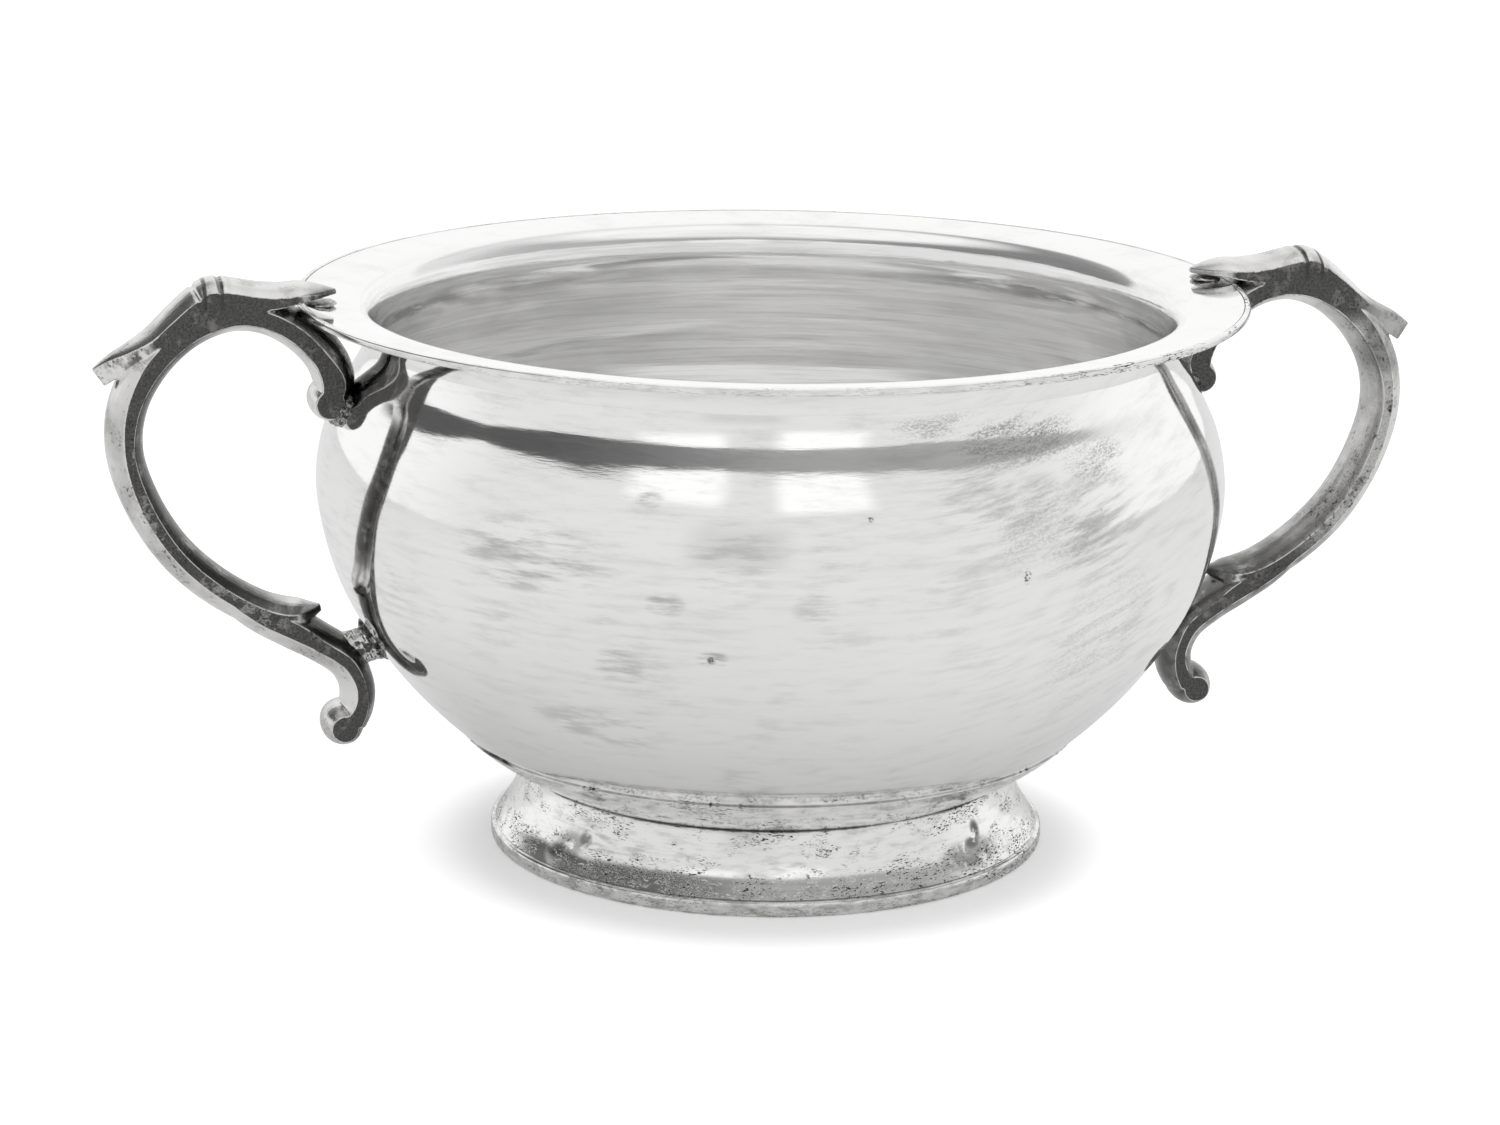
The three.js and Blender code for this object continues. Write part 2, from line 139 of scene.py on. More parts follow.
# Struts and solder at the right end: distance from the axis and height
STRUT_FROM = (75, 42.4)
STRUT_TO = (82.4, 39.6)
STRUT_RADIUS = 4.1
STRUT_WAIST = 0.84
# Height and size of the lumps on the struts, and the size of those on the solder
STRUT_LUMPS = (0.35, 1.8)
SOLDER_LUMP_SIZE = 1.4
# Name, whether it is smooth, middle, radii, tilt and height of its lumps
SOLDER = [
    ("strut_solder_", False, (76.2, 42.2), (1.9, 5.2, 4.6), 0.62, 0.5),
    ("shoulder_solder_", False, (82.3, 87.0), (2.2, 7.2, 3.6), -0.35, 0.55),
    ("rim_solder_", True, (85.8, 106.9), (2.9, 3.5, 0.6), 0, 0.12),
]

# The two ends: side, name and seed of the lumps
ENDS = [(-1, "left", 3.1), (1, "right", 8.4)]

# Waves in the sheet: size, waves to a turn, change with height, start
WAVES = [(0.016, 9, -0.21, 2.1), (0.010, 14, 0.33, 4.4), (0.005, 31, 0.5, 1.3)]
# Heights where the waves fade in from below and from above
WAVES_LOW = (22, 42)
WAVES_TOP = (103, 97)
BOWL_SEGMENTS = 360
SEGMENTS = 288

# Marks on the belly: angle, height, half width as an angle, half height and strength
SMUDGES = [
    (-2.30, 0.0735, 0.22, 0.0085, 1.0), (-1.88, 0.0755, 0.11, 0.009, 0.5),
    (-2.007, 0.0676, 0.05, 0.0028, 1.2), (-1.915, 0.0577, 0.04, 0.0022, 1.5),
    (-2.11, 0.055, 0.07, 0.005, 0.8), (-1.70, 0.0675, 0.06, 0.005, 0.7),
    (-2.05, 0.0852, 0.04, 0.0018, 1.0), (-1.05, 0.078, 0.16, 0.012, 0.8),
    (-1.30, 0.084, 0.2, 0.007, 0.7), (-2.2, 0.041, 0.2, 0.006, 0.6),
]
DRY_PLACES = [
    (-1.22, 0.0935, 0.22, 0.0055, 0.8), (-1.38, 0.0965, 0.2, 0.003, 0.5),
    (-1.02, 0.0885, 0.12, 0.005, 0.7), (-1.18, 0.078, 0.2, 0.01, 0.35),
    (-1.0, 0.055, 0.2, 0.02, 0.3),
]
NICKS = [
    (-1.252, 0.0706, 0.014, 0.0015, 1), (-1.593, 0.0828, 0.008, 0.0006, 1),
    (-1.046, 0.0801, 0.004, 0.0004, 1), (-1.008, 0.0552, 0.004, 0.0004, 1),
    (-1.0, 0.0522, 0.004, 0.0004, 1), (-1.915, 0.0575, 0.012, 0.0009, 1),
]
# Painted dark reflections at the left and the right of the foot, in the same order
FOOT_PAINTED_REFLECTIONS = [
    (-0.93, 0.0062, 0.2, 0.003, 0.7), (-0.86, 0.0098, 0.035, 0.0022, 1.0),
    (-0.9, 0.0078, 0.05, 0.0012, 0.9), (-2.62, 0.0075, 0.1, 0.003, 0.6),
    (-2.55, 0.009, 0.04, 0.0018, 0.8),
]
# Painted shadow along the seams under the belly, in millimetres: radius, drop below the
# sheet and half width, then strength
PAINTED_SEAM_SHADOWS = [(FOOT_TOP_RADIUS, 0.8, 0.3, 0.9), (COLLAR_RADIUS, 0.1, 0.13, 0.55)]
# Height of the painted dark reflection line round the neck inside
NECK_LINE = 0.0967

# Places of other finishes: where each begins and where it is full. OUT is along x from the
# axis, CLIMB_ANGLE is an angle round it, and the others are heights.
INNER_WALL = (0.1062, 0.1035)
WORN_BOTTOM = (0.030, 0.016)
CLIMB_ANGLE = (-1.5, -0.6)
LOOP_OUT = (0.098, 0.11)
LOOP_LOW = (0.05, 0.06)
LOOP_TOP = (0.101, 0.096)
SPUR_OUT = (0.1155, 0.1185)
SPUR_LOW = (0.087, 0.09)
TAIL_TOP = (0.058, 0.05)
FLECKS_OUT = (-0.088, -0.1)
FLECKS_TOP = (0.092, 0.08)
KNUCKLE_LOW = (0.1064, 0.1078)
GROOVES_OUT = (0.1045, 0.1076)

# Colours of the sheet
SHEET = (0.95, 0.947, 0.942)
SHEET_HAZE = (0.83, 0.827, 0.822)
SHEET_STROKE = (0.66, 0.657, 0.652)
SHEET_SMUDGE = (0.56, 0.557, 0.552)
SHEET_DRY = (0.3, 0.298, 0.294)
SHEET_NICK = (0.18, 0.178, 0.175)
# Painted highlights and darker painted reflection bands in rings on the inner wall, then the plain
# colour at the middle
RING_PAINTED_HIGHLIGHT = (0.995, 0.993, 0.99)
RING_PAINTED_DARK_BAND = (0.88, 0.877, 0.872)
RING_MIDDLE = (0.93, 0.928, 0.924)
# Painted dark reflection round the neck inside
NECK_PAINTED_REFLECTION = (0.28, 0.279, 0.275)
# Colours of the foot, the wires and the solder
FOOT_BRIGHT = (0.89, 0.888, 0.882)
FOOT_DULL = (0.72, 0.718, 0.712)
FOOT_WORN = (0.52, 0.518, 0.512)
# Painted shade and painted shadow line along the seams
SEAM_SHADE = (0.3, 0.298, 0.294)
SEAM_PAINTED_SHADOW = (0.05, 0.049, 0.047)
# Painted dark reflections on the foot
FOOT_PAINTED_REFLECTION = (0.14, 0.139, 0.136)
FOOT_SPECK = (0.05, 0.048, 0.045)
WIRE_SPECK = (0.06, 0.058, 0.055)
RIM_BRIGHT = (0.93, 0.928, 0.922)
RIM_DULL = (0.76, 0.758, 0.752)
WIRE_BRIGHT = (0.82, 0.818, 0.812)
WIRE_DULL = (0.5, 0.498, 0.492)
SOLDER_BRIGHT = (0.7, 0.698, 0.692)
SOLDER_DARK = (0.06, 0.058, 0.055)
SOLDER_SMOOTH = (0.4, 0.398, 0.392)
# Colours of the castings
CROWN_BRIGHT = (0.78, 0.775, 0.765)
CROWN_DULL = (0.5, 0.495, 0.487)
CROWN_PATCH = (0.34, 0.337, 0.33)
CROWN_TARNISH = (0.06, 0.059, 0.057)
TAIL_TARNISH = (0.14, 0.139, 0.136)
SPUR_CROWN = (0.3, 0.298, 0.292)
SIDE_DARK = (0.075, 0.074, 0.072)
SIDE_GREY = (0.14, 0.138, 0.135)
SIDE_PATCH = (0.22, 0.217, 0.212)
LOOP_GREY = (0.42, 0.418, 0.412)
LOOP_BRIGHT = (0.62, 0.617, 0.61)
SIDE_FLECK = (0.4, 0.397, 0.39)
SPUR_DARK = (0.16, 0.159, 0.155)
SPUR_GREY = (0.34, 0.337, 0.33)
GROOVE_TARNISH = (0.07, 0.069, 0.067)
# Edges worn bright and partly a painted highlight
EDGE_WORN_AND_HIGHLIGHT = (0.82, 0.815, 0.805)
PIT = (0.03, 0.03, 0.03)

# Studio: levels of what the camera sees and what the silver mirrors
FLOOR_RADIUS = 6
FLOOR_TONE = 0.8
# The floor's glow near the foot is weaker than further out: a painted shadow round the foot
FLOOR_GLOW_PAINTED_SHADOW = 0.33
FLOOR_GLOW = 0.62
FLOOR_MIRRORED = 0.15
# Where the painted shadow round the foot fades out, and how far its middle is moved
PAINTED_SHADOW_RING = (0.054, 0.070)
PAINTED_SHADOW_SHIFT = (0.001, 0.005, 0)
LAMP_WATTS = 2.5
LAMP_SIZE = 1.0
LAMP_PLACE = (-0.05, -0.2, 1.8)
BACK_WALL = 1.0
FRONT_WALL = 0.8
WINDOW = 1.08
CEILING_LEFT = 0.1
CEILING_FRONT = 0.37
CEILING_RIGHT = 0.42
CEILING_BACK = 0.75
CEILING_MIDDLE = 1.0
# Direction from the bowl to the front of the room, in x and y
ROOM_FRONT = (-0.226, -0.974)
# Windows in the front wall: angle of the middle, half width as an angle, lower edge
WINDOWS = [(-0.475, 0.24, 0.59), (0.27, 0.23, 0.54)]
# A grey stand between them: its angle, where it begins and is full by half width and by
# height, and its level
STAND_ANGLE = -0.13
STAND_WIDTHS = (0.28, 0.12)
STAND_HEIGHTS = (0.5, 0.25)
STAND = 0.68
# Edge of the opening above, as the z of its direction: its height at the left and the right,
# and the rise to the front of the two lines of which the lower one counts
OPENING_HEIGHT = 0.505
OPENING_RIGHT_HEIGHT = 0.538
OPENING_FRONT_RISE = 0.2
OPENING_SIDE_RISE = 0.47

# Camera, fitted to the rim, the foot and both handles of the photograph; its distance and
# target are in millimetres
IMAGE_WIDTH = 1500
IMAGE_HEIGHT = 1125
FOCAL_PIXELS = 4191.9
CENTRE_X_PIXEL = 769.34
CENTRE_Y_PIXEL = 560.31
SENSOR_WIDTH = 36
CAMERA_AZIMUTH = math.radians(-13.08)
CAMERA_ELEVATION = math.radians(14.465)
CAMERA_ROLL = math.radians(0.82)
CAMERA_DISTANCE = 806.8
CAMERA_TARGET = (0, 0, 54)


# Curves and meshes

def fade(value, zero_at, one_at):
    """0 at one value and 1 at another, and even between them."""
    return min(1, max(0, (value - zero_at) / (one_at - zero_at)))


def spline(points, steps):
    """Centripetal curve through the points, with steps stretches between each two."""
    p = np.array(points, float)
    first = 2 * p[0] - p[1]
    last = 2 * p[-1] - p[-2]
    q = np.vstack([first, p, last])
    out = []
    for i in range(1, len(q) - 2):
        a, b, c, d = q[i - 1 : i + 3]
        ta = 0.0
        tb = ta + max(np.linalg.norm((b - a)[:2]) ** 0.5, 1e-6)
        tc = tb + max(np.linalg.norm((c - b)[:2]) ** 0.5, 1e-6)
        td = tc + max(np.linalg.norm((d - c)[:2]) ** 0.5, 1e-6)
        for t in np.linspace(tb, tc, steps, endpoint=False):
            ab = (tb - t) / (tb - ta) * a + (t - ta) / (tb - ta) * b
            bc = (tc - t) / (tc - tb) * b + (t - tb) / (tc - tb) * c
            cd = (td - t) / (td - tc) * c + (t - tc) / (td - tc) * d
            abc = (tc - t) / (tc - ta) * ab + (t - ta) / (tc - ta) * bc
            bcd = (td - t) / (td - tb) * bc + (t - tb) / (td - tb) * cd
            out.append((tc - t) / (tc - tb) * abc + (t - tb) / (tc - tb) * bcd)
    out.append(p[-1])
    return np.array(out)


def smoothed(line, step, width):
    """The line from the axis in even steps, with its small changes of direction evened out."""
    run = np.r_[0, np.cumsum(np.linalg.norm(np.diff(line, axis=0), axis=1))]
    even = np.linspace(0, run[-1], int(run[-1] / step) + 1)
    q = np.stack([np.interp(even, run, line[:, 0]), np.interp(even, run, line[:, 1])], axis=1)
    reach = int(4 * width / step)
    weights = np.exp(-0.5 * (np.arange(-reach, reach + 1) * step / width) ** 2)
    weights /= weights.sum()
    before = q[1 : reach + 1][::-1] * (-1, 1)
    after = 2 * q[-1] - q[-reach - 1 : -1][::-1]
    p = np.vstack([before, q, after])
    out = np.stack([np.convolve(p[:, k], weights, "valid") for k in (0, 1)], axis=1)
    out[0, 0] = 0
    return out


def offset(line, distance):
    """The line moved to its right as it runs."""
    along = np.gradient(line, axis=0)
    along /= np.linalg.norm(along, axis=1)[:, None]
    moved = line + distance * np.stack([along[:, 1], -along[:, 0]], axis=1)
    moved[line[:, 0] < ON_AXIS, 0] = 0
    return moved


def rounded(points, radii, steps=5):
    """Closed profile with each corner rounded by its radius."""
    p = np.array(points, float)
    out = []
    for i, r in enumerate(radii):
        a, b, c = p[i - 1], p[i], p[(i + 1) % len(p)]
        u = (a - b) / np.linalg.norm(a - b)
        v = (c - b) / np.linalg.norm(c - b)
        half = math.acos(max(-1, min(1, float(u @ v)))) / 2
        back = min(r / math.tan(half), 0.49 * np.linalg.norm(a - b), 0.49 * np.linalg.norm(c - b))
        start, end = b + u * back, b + v * back
        for t in np.linspace(0, 1, steps + 1):
            out.append((1 - t) ** 2 * start + 2 * t * (1 - t) * b + t * t * end)
    return np.array(out)


def shade_smooth(mesh):
    mesh.polygons.foreach_set("use_smooth", [True] * len(mesh.polygons))


def new_object(name, verts, faces, smooth=True):
    """Mesh object from corners in millimetres."""
    mesh = bpy.data.meshes.new(name)
    mesh.from_pydata([tuple(v) for v in np.array(verts, float) * MM], [], faces)
    mesh.update()
    ob = bpy.data.objects.new(name, mesh)
    bpy.context.scene.collection.objects.link(ob)
    if smooth:
        shade_smooth(mesh)
    return ob


def rings(profile, place, segments):
    """Corners round each (radius, height) of a profile, one alone on the axis, and their numbers."""
    angles = np.linspace(0, 2 * math.pi, segments, endpoint=False)
    verts, index = [], []
    for r, h in profile:
        if r < ON_AXIS:
            index.append([len(verts)] * segments)
            verts.append(place(0, h, 0))
        else:
            index.append(list(range(len(verts), len(verts) + segments)))
            verts.extend(place(r, h, a) for a in angles)
    return verts, index


def ring_faces(index, pairs, segments):
    """Faces between the rings of each pair, with corners that fall together left out."""
    faces = []
    for i, j in pairs:
        for k in range(segments):
            m = (k + 1) % segments
            face = list(dict.fromkeys([index[i][k], index[i][m], index[j][m], index[j][k]]))
            if len(face) > 2:
                faces.append(face)
    return faces


def turned(name, profile, segments=SEGMENTS, sharp=35):
    """Solid of revolution from an anticlockwise (radius, height) profile."""
    def place(r, z, a):
        return r * math.cos(a), r * math.sin(a), z

    verts, index = rings(profile, place, segments)
    count = len(profile)
    last = count - 1 if profile[0][0] < ON_AXIS else count
    pairs = [(i, (i + 1) % count) for i in range(last)]
    ob = new_object(name, verts, ring_faces(index, pairs, segments))
    ob.data.set_sharp_from_angle(angle=math.radians(sharp))
    return ob


# Bowl

NECK_RADIUS = RIM_RADIUS * BELLY[-1][0]
NECK_HEIGHT = RIM_HEIGHT * BELLY[-1][1]
FLAT_START = NECK_RADIUS + (RIM_RADIUS - NECK_RADIUS) * TURN[-1][0]
FLANGE_SLOPE = FLANGE_RISE / (RIM_RADIUS - FLAT_START)


def flange_top(radius):
    return RIM_HEIGHT - (RIM_RADIUS - radius) * FLANGE_SLOPE


def bowl_outside():
    """Line from the axis under the bowl, up the belly and out under the flange."""
    belly = [(RIM_RADIUS * r, RIM_HEIGHT * z) for r, z in BELLY]
    out = RIM_RADIUS - NECK_RADIUS
    rise = flange_top(FLAT_START) - BOWL_WALL - NECK_HEIGHT
    turn = [(NECK_RADIUS + out * r, NECK_HEIGHT + rise * z) for r, z in TURN]
    edge = RIM_RADIUS - RIM_WIRE_WIDTH - TOUCH
    flat = [(r, flange_top(r) - BOWL_WALL) for r in (*FLAT_RADII, edge)]
    return smoothed(spline(belly + turn + flat, 10), OUTLINE_STEP, OUTLINE_SOFTNESS)


OUTSIDE = bowl_outside()


def bowl_place(radius):
    """Place and outward direction on the underside of the belly, by its radius."""
    i = int(np.argmax(OUTSIDE[:, 0] >= radius))
    a, b = OUTSIDE[i - 1], OUTSIDE[i]
    t = (radius - a[0]) / (b[0] - a[0])
    d = (b - a) / np.linalg.norm(b - a)
    return a + t * (b - a), np.array([d[1], -d[0]])


def kept_outside(ob, depth=0.6, top=99):
    """Draws back what lies deeper than that in the wall below the neck, so none shows inside."""
    belly = OUTSIDE[OUTSIDE[:, 1] < top + 1]
    verts = ob.data.vertices
    places = np.empty(3 * len(verts), np.float32)
    verts.foreach_get("co", places)
    x, y, z = places.reshape(-1, 3).T / MM
    least = np.interp(z, belly[:, 1], belly[:, 0]) - depth
    here = np.hypot(x, y)
    push = np.where((z < top) & (here < least), least / np.maximum(here, 1), 1)
    places = np.stack([x * push, y * push, z], axis=1) * MM
    verts.foreach_set("co", places.astype(np.float32).ravel())
    ob.data.update()
    return ob


def hand_worked(ob):
    """Shallow waves in the sheet, as hammering and use leave them."""
    marks = ob.data.attributes["inside"].data
    for v, mark in zip(ob.data.vertices, marks):
        x, y, z = v.co / MM
        angle = math.atan2(y, x)
        share = fade(z, *WAVES_LOW) * fade(z, *WAVES_TOP)
        wave = 0.030 * math.sin(5 * angle + 0.11 * z + 0.6) * math.sin(0.13 * z + 0.4)
        for size, waves, climb, start in WAVES:
            wave += size * math.sin(waves * angle + climb * z + start)
        # Closer rings inside
        wave += mark.value * 0.014 * math.sin(1.05 * z + 1.6 * math.sin(2 * angle + 1))
        wave += mark.value * 0.010 * math.sin(0.6 * z + 17 * angle)
        push = 1 + share * wave / max(math.hypot(x, y), 20)
        v.co = Vector((x * push, y * push, z)) * MM
    return ob


def make_bowl():
    """The sheet bowl, whose points carry the mark inside for the finish."""
    inside = offset(OUTSIDE, -BOWL_WALL)
    ob = turned("bowl_shell", np.vstack([OUTSIDE, inside[::-1]]), BOWL_SEGMENTS)
    mark = ob.data.attributes.new("inside", "FLOAT", "POINT")
    first = 1 + BOWL_SEGMENTS * (len(OUTSIDE) - 1)
    for i, item in enumerate(mark.data):
        item.value = 1.0 if i >= first else 0.0
    return hand_worked(ob)


def make_rim_wire():
    inner = RIM_RADIUS - RIM_WIRE_WIDTH
    low, top = RIM_HEIGHT - RIM_WIRE_HEIGHT, RIM_HEIGHT
    corners = [(inner, low), (RIM_RADIUS, low), (RIM_RADIUS, top), (inner, top)]
    return turned("rim_edge_wire", rounded(corners, RIM_WIRE_CORNERS), BOWL_SEGMENTS, 60)


def make_collar():
    """Thin ring that lies on the belly and thickens inward from a feather edge."""
    inner_radius = FOOT_TOP_RADIUS * COLLAR_INNER_SHARE
    top, under = [], []
    for t in np.linspace(0, 1, 24):
        radius = COLLAR_RADIUS + (inner_radius - COLLAR_RADIUS) * t
        place, out = bowl_place(radius)
        share = 1 - (1 - t) ** 1.7
        thickness = COLLAR_EDGE + (COLLAR_THICKNESS - COLLAR_EDGE) * share
        top.append(place + out * TOUCH)
        under.append(place + out * (SEAT_GAP + thickness))
    return turned("foot_dish", np.vstack([under[::-1], top]))


def make_foot():
    """Hollow concave flare between the collar and the base wire."""
    place, out = bowl_place(FOOT_TOP_RADIUS)
    top = place + out * (2 * SEAT_GAP + COLLAR_THICKNESS - FOOT_LAP)
    base = np.array([FOOT_RADIUS, FOOT_WIRE_HEIGHT + 2 * TOUCH])
    outer = spline([base, *FOOT, top], 8)
    inner = offset(outer, -FOOT_WALL)
    inner[0] = base - (FOOT_WALL, 0)
    inner[-1] = top + np.array([-FOOT_WALL, FOOT_WALL * 0.2])
    return turned("foot_spread", np.vstack([outer, inner[::-1]]))


def make_base_wire():
    inner = FOOT_RADIUS - FOOT_WALL
    out = FOOT_WIRE_RADIUS
    corners = [(inner, 0), (out, 0), (out, FOOT_WIRE_HEIGHT), (inner, FOOT_WIRE_HEIGHT)]
    return turned("foot_wire", rounded(corners, FOOT_WIRE_CORNERS, 7), sharp=60)


# Handles

def handle_x(share):
    """Distance from the axis of an outward share."""
    return RIM_RADIUS * (1 + share) if share < 0 else RIM_RADIUS + share * HANDLE_REACH


def handle_point(shares):
    """Distance from the axis and height of an outward and an upward share."""
    return np.array([handle_x(shares[0]), RIM_HEIGHT * shares[1]])


def crown(u):
    """Height of a crowned face across the bar, from 1 in the middle to 0 at its edges."""
    return 1 - np.abs(u) ** 2.3


def bar(name, rows, grooves=(), across=15):
    """A bar with flat sides and crowned faces that follows the rows."""
    data = []
    for x, z, side, outer, inner, width in rows:
        data.append((
            handle_x(x), RIM_HEIGHT * z, side * SIDE_THICKNESS, outer * OUTER_CROWN,
            inner * INNER_CROWN, width * HANDLE_WIDTH / 2,
        ))
    line = spline(data, BAR_STEPS)
    along = np.gradient(line[:, :2], axis=0)
    along /= np.linalg.norm(along, axis=1)[:, None]
    left = np.stack([-along[:, 1], along[:, 0]], axis=1)
    row = np.arange(len(line)) / BAR_STEPS
    u = np.sin(np.linspace(-math.pi / 2, math.pi / 2, across))
    verts = []
    for i, (x, z, side, outer, inner, half) in enumerate(line):
        cut = sum(GROOVE_DEPTH * math.exp(-((row[i] - g) / GROOVE_SPREAD) ** 2) for g in grooves)
        rise = side / 2 + outer * crown(u) - cut * (1 - 0.25 * np.abs(u) ** 6)
        for v, h in zip(u, rise):
            verts.append((x + left[i, 0] * h, v * half, z + left[i, 1] * h))
        for v in u[::-1]:
            h = side / 2 + inner * crown(v)
            verts.append((x - left[i, 0] * h, v * half, z - left[i, 1] * h))
    ring = 2 * across
    faces = []
    for r in range(len(line) - 1):
        for k in range(ring):
            a, b = r * ring + k, r * ring + (k + 1) % ring
            faces.append([a, a + ring, b + ring, b])
    faces.append(list(range(ring)))
    last = (len(line) - 1) * ring
    faces.append([last + k for k in range(ring - 1, -1, -1)])
    return new_object(name, verts, faces, smooth=False)


def drum(name, shares, radius, crown_height, segments=64, across=15):
    """Round end of a scroll, as wide as the bar and crowned all round."""
    cx, cz = handle_point(shares)
    half = HANDLE_WIDTH / 2
    u = np.sin(np.linspace(-math.pi / 2, math.pi / 2, across))
    profile = [(0, -half)] + [(radius + crown_height * crown(v), v * half) for v in u] + [(0, half)]

    def place(r, y, a):
        return cx + r * math.sin(a), y, cz + r * math.cos(a)

    verts, index = rings(profile, place, segments)
    pairs = [(i, i + 1) for i in range(len(profile) - 1)]
    return new_object(name, verts, ring_faces(index, pairs, segments), smooth=False)


def apply_modifiers(ob):
    """Keeps the mesh as the modifiers leave it."""
    dg = bpy.context.evaluated_depsgraph_get()
    evaluated = ob.evaluated_get(dg)
    mesh = bpy.data.meshes.new_from_object(evaluated)
    ob.modifiers.clear()
    old = ob.data
    ob.data = mesh
    bpy.data.meshes.remove(old)


def join(name, parts):
    """One object from several, with all their faces turned outwards."""
    bm = bmesh.new()
    for part in parts:
        piece = bmesh.new()
        piece.from_mesh(part.data)
        bmesh.ops.recalc_face_normals(piece, faces=piece.faces)
        temp = bpy.data.meshes.new("temp")
        piece.to_mesh(temp)
        piece.free()
        bm.from_mesh(temp)
        bpy.data.meshes.remove(temp)
    mesh = bpy.data.meshes.new(name)
    bm.to_mesh(mesh)
    bm.free()
    for part in parts:
        bpy.data.objects.remove(part)
    ob = bpy.data.objects.new(name, mesh)
    bpy.context.scene.collection.objects.link(ob)
    return ob


def place_handle(ob, lean, rise, side, tuck):
    """Leans the handle about its knuckle, tucks its curl in and turns it to its end."""
    px, pz = handle_point(LEAN_PIVOT)
    there = Matrix.Translation((px * MM, 0, (pz + rise) * MM))
    turn = Matrix.Rotation(-lean, 4, "Y")
    back = Matrix.Translation((-px * MM, 0, -pz * MM))
    end = Matrix.Rotation(math.pi if side < 0 else 0, 4, "Z")
    ob.data.transform(there @ turn @ back)
    for v in ob.data.vertices:
        x, y, z = v.co / MM
        near = fade(x, *CURL_OUT) * fade(z, *CURL_TOP) * (z > CURL_LOW)
        v.co.x -= tuck * near * MM
    ob.data.transform(end)


def make_handle(name, lean, rise, side, tuck):
    """One casting: two scroll bars, the strap, the curl and the knob, fused and softened."""
    parts = [
        bar("scroll", SCROLL),
        bar("lower_scroll", LOWER_SCROLL),
        bar("strap", STRAP, STRAP_GROOVES),
        drum("curl", CURL, *CURL_DRUM),
        drum("knob", KNOB, *KNOB_DRUM),
    ]
    ob = join(name, parts)
    remesh = ob.modifiers.new("fuse", "REMESH")
    remesh.mode = "VOXEL"
    remesh.voxel_size = VOXEL * MM
    remesh.use_smooth_shade = True
    smooth = ob.modifiers.new("soften", "SMOOTH")
    smooth.factor = 0.5
    smooth.iterations = 3
    apply_modifiers(ob)
    place_handle(ob, lean, rise, side, tuck)
    shade_smooth(ob.data)
    return kept_outside(ob)


# Struts and solder

def lumpy(ob, amount, size, seed):
    """Pushes the surface in and out by uneven lumps."""
    coords = [v.co.copy() / MM for v in ob.data.vertices]
    for v, co in zip(ob.data.vertices, coords):
        at = co / size + Vector((seed, 0.7 * seed, 0))
        push = noise.fractal(at, 0.6, 2.1, 5) * amount
        v.co += v.normal * push * MM
    return ob


def lump(name, centre, radii, tilt, amount, seed):
    """A flattened lump of solder; tilt turns it about the y axis."""
    bpy.ops.mesh.primitive_ico_sphere_add(subdivisions=5, radius=MM)
    ob = bpy.context.object
    ob.name = ob.data.name = name
    size = Matrix.Diagonal((*radii, 1))
    ob.data.transform(Matrix.Rotation(tilt, 4, "Y") @ size)
    ob.data.transform(Matrix.Translation(Vector(centre) * MM))
    shade_smooth(ob.data)
    return kept_outside(lumpy(ob, amount, SOLDER_LUMP_SIZE, seed))


def make_strut(name, side, seed, rings=40, segments=96):
    """Short cast bar from inside the belly's wall outward, a little thicker at its ends."""
    a = Vector((side * STRUT_FROM[0], 0, STRUT_FROM[1]))
    b = Vector((side * STRUT_TO[0], 0, STRUT_TO[1]))
    along = (b - a).normalized()
    level = Vector((0, 1, 0))
    upright = along.cross(level).normalized()
    verts, faces = [], []
    for i in range(rings + 1):
        t = i / rings
        r = STRUT_RADIUS * (STRUT_WAIST + (1 - STRUT_WAIST) * abs(2 * t - 1) ** 1.6)
        for k in range(segments):
            turn = 2 * math.pi * k / segments
            verts.append(a.lerp(b, t) + (level * math.cos(turn) + upright * math.sin(turn)) * r)
    for low in range(0, rings * segments, segments):
        for k in range(segments):
            m = (k + 1) % segments
            faces.append([low + k, low + m, low + segments + m, low + segments + k])
    faces.append(list(range(segments))[::-1])
    faces.append([rings * segments + k for k in range(segments)])
    return kept_outside(lumpy(new_object(name, verts, faces), *STRUT_LUMPS, seed))


# Nodes of the finishes

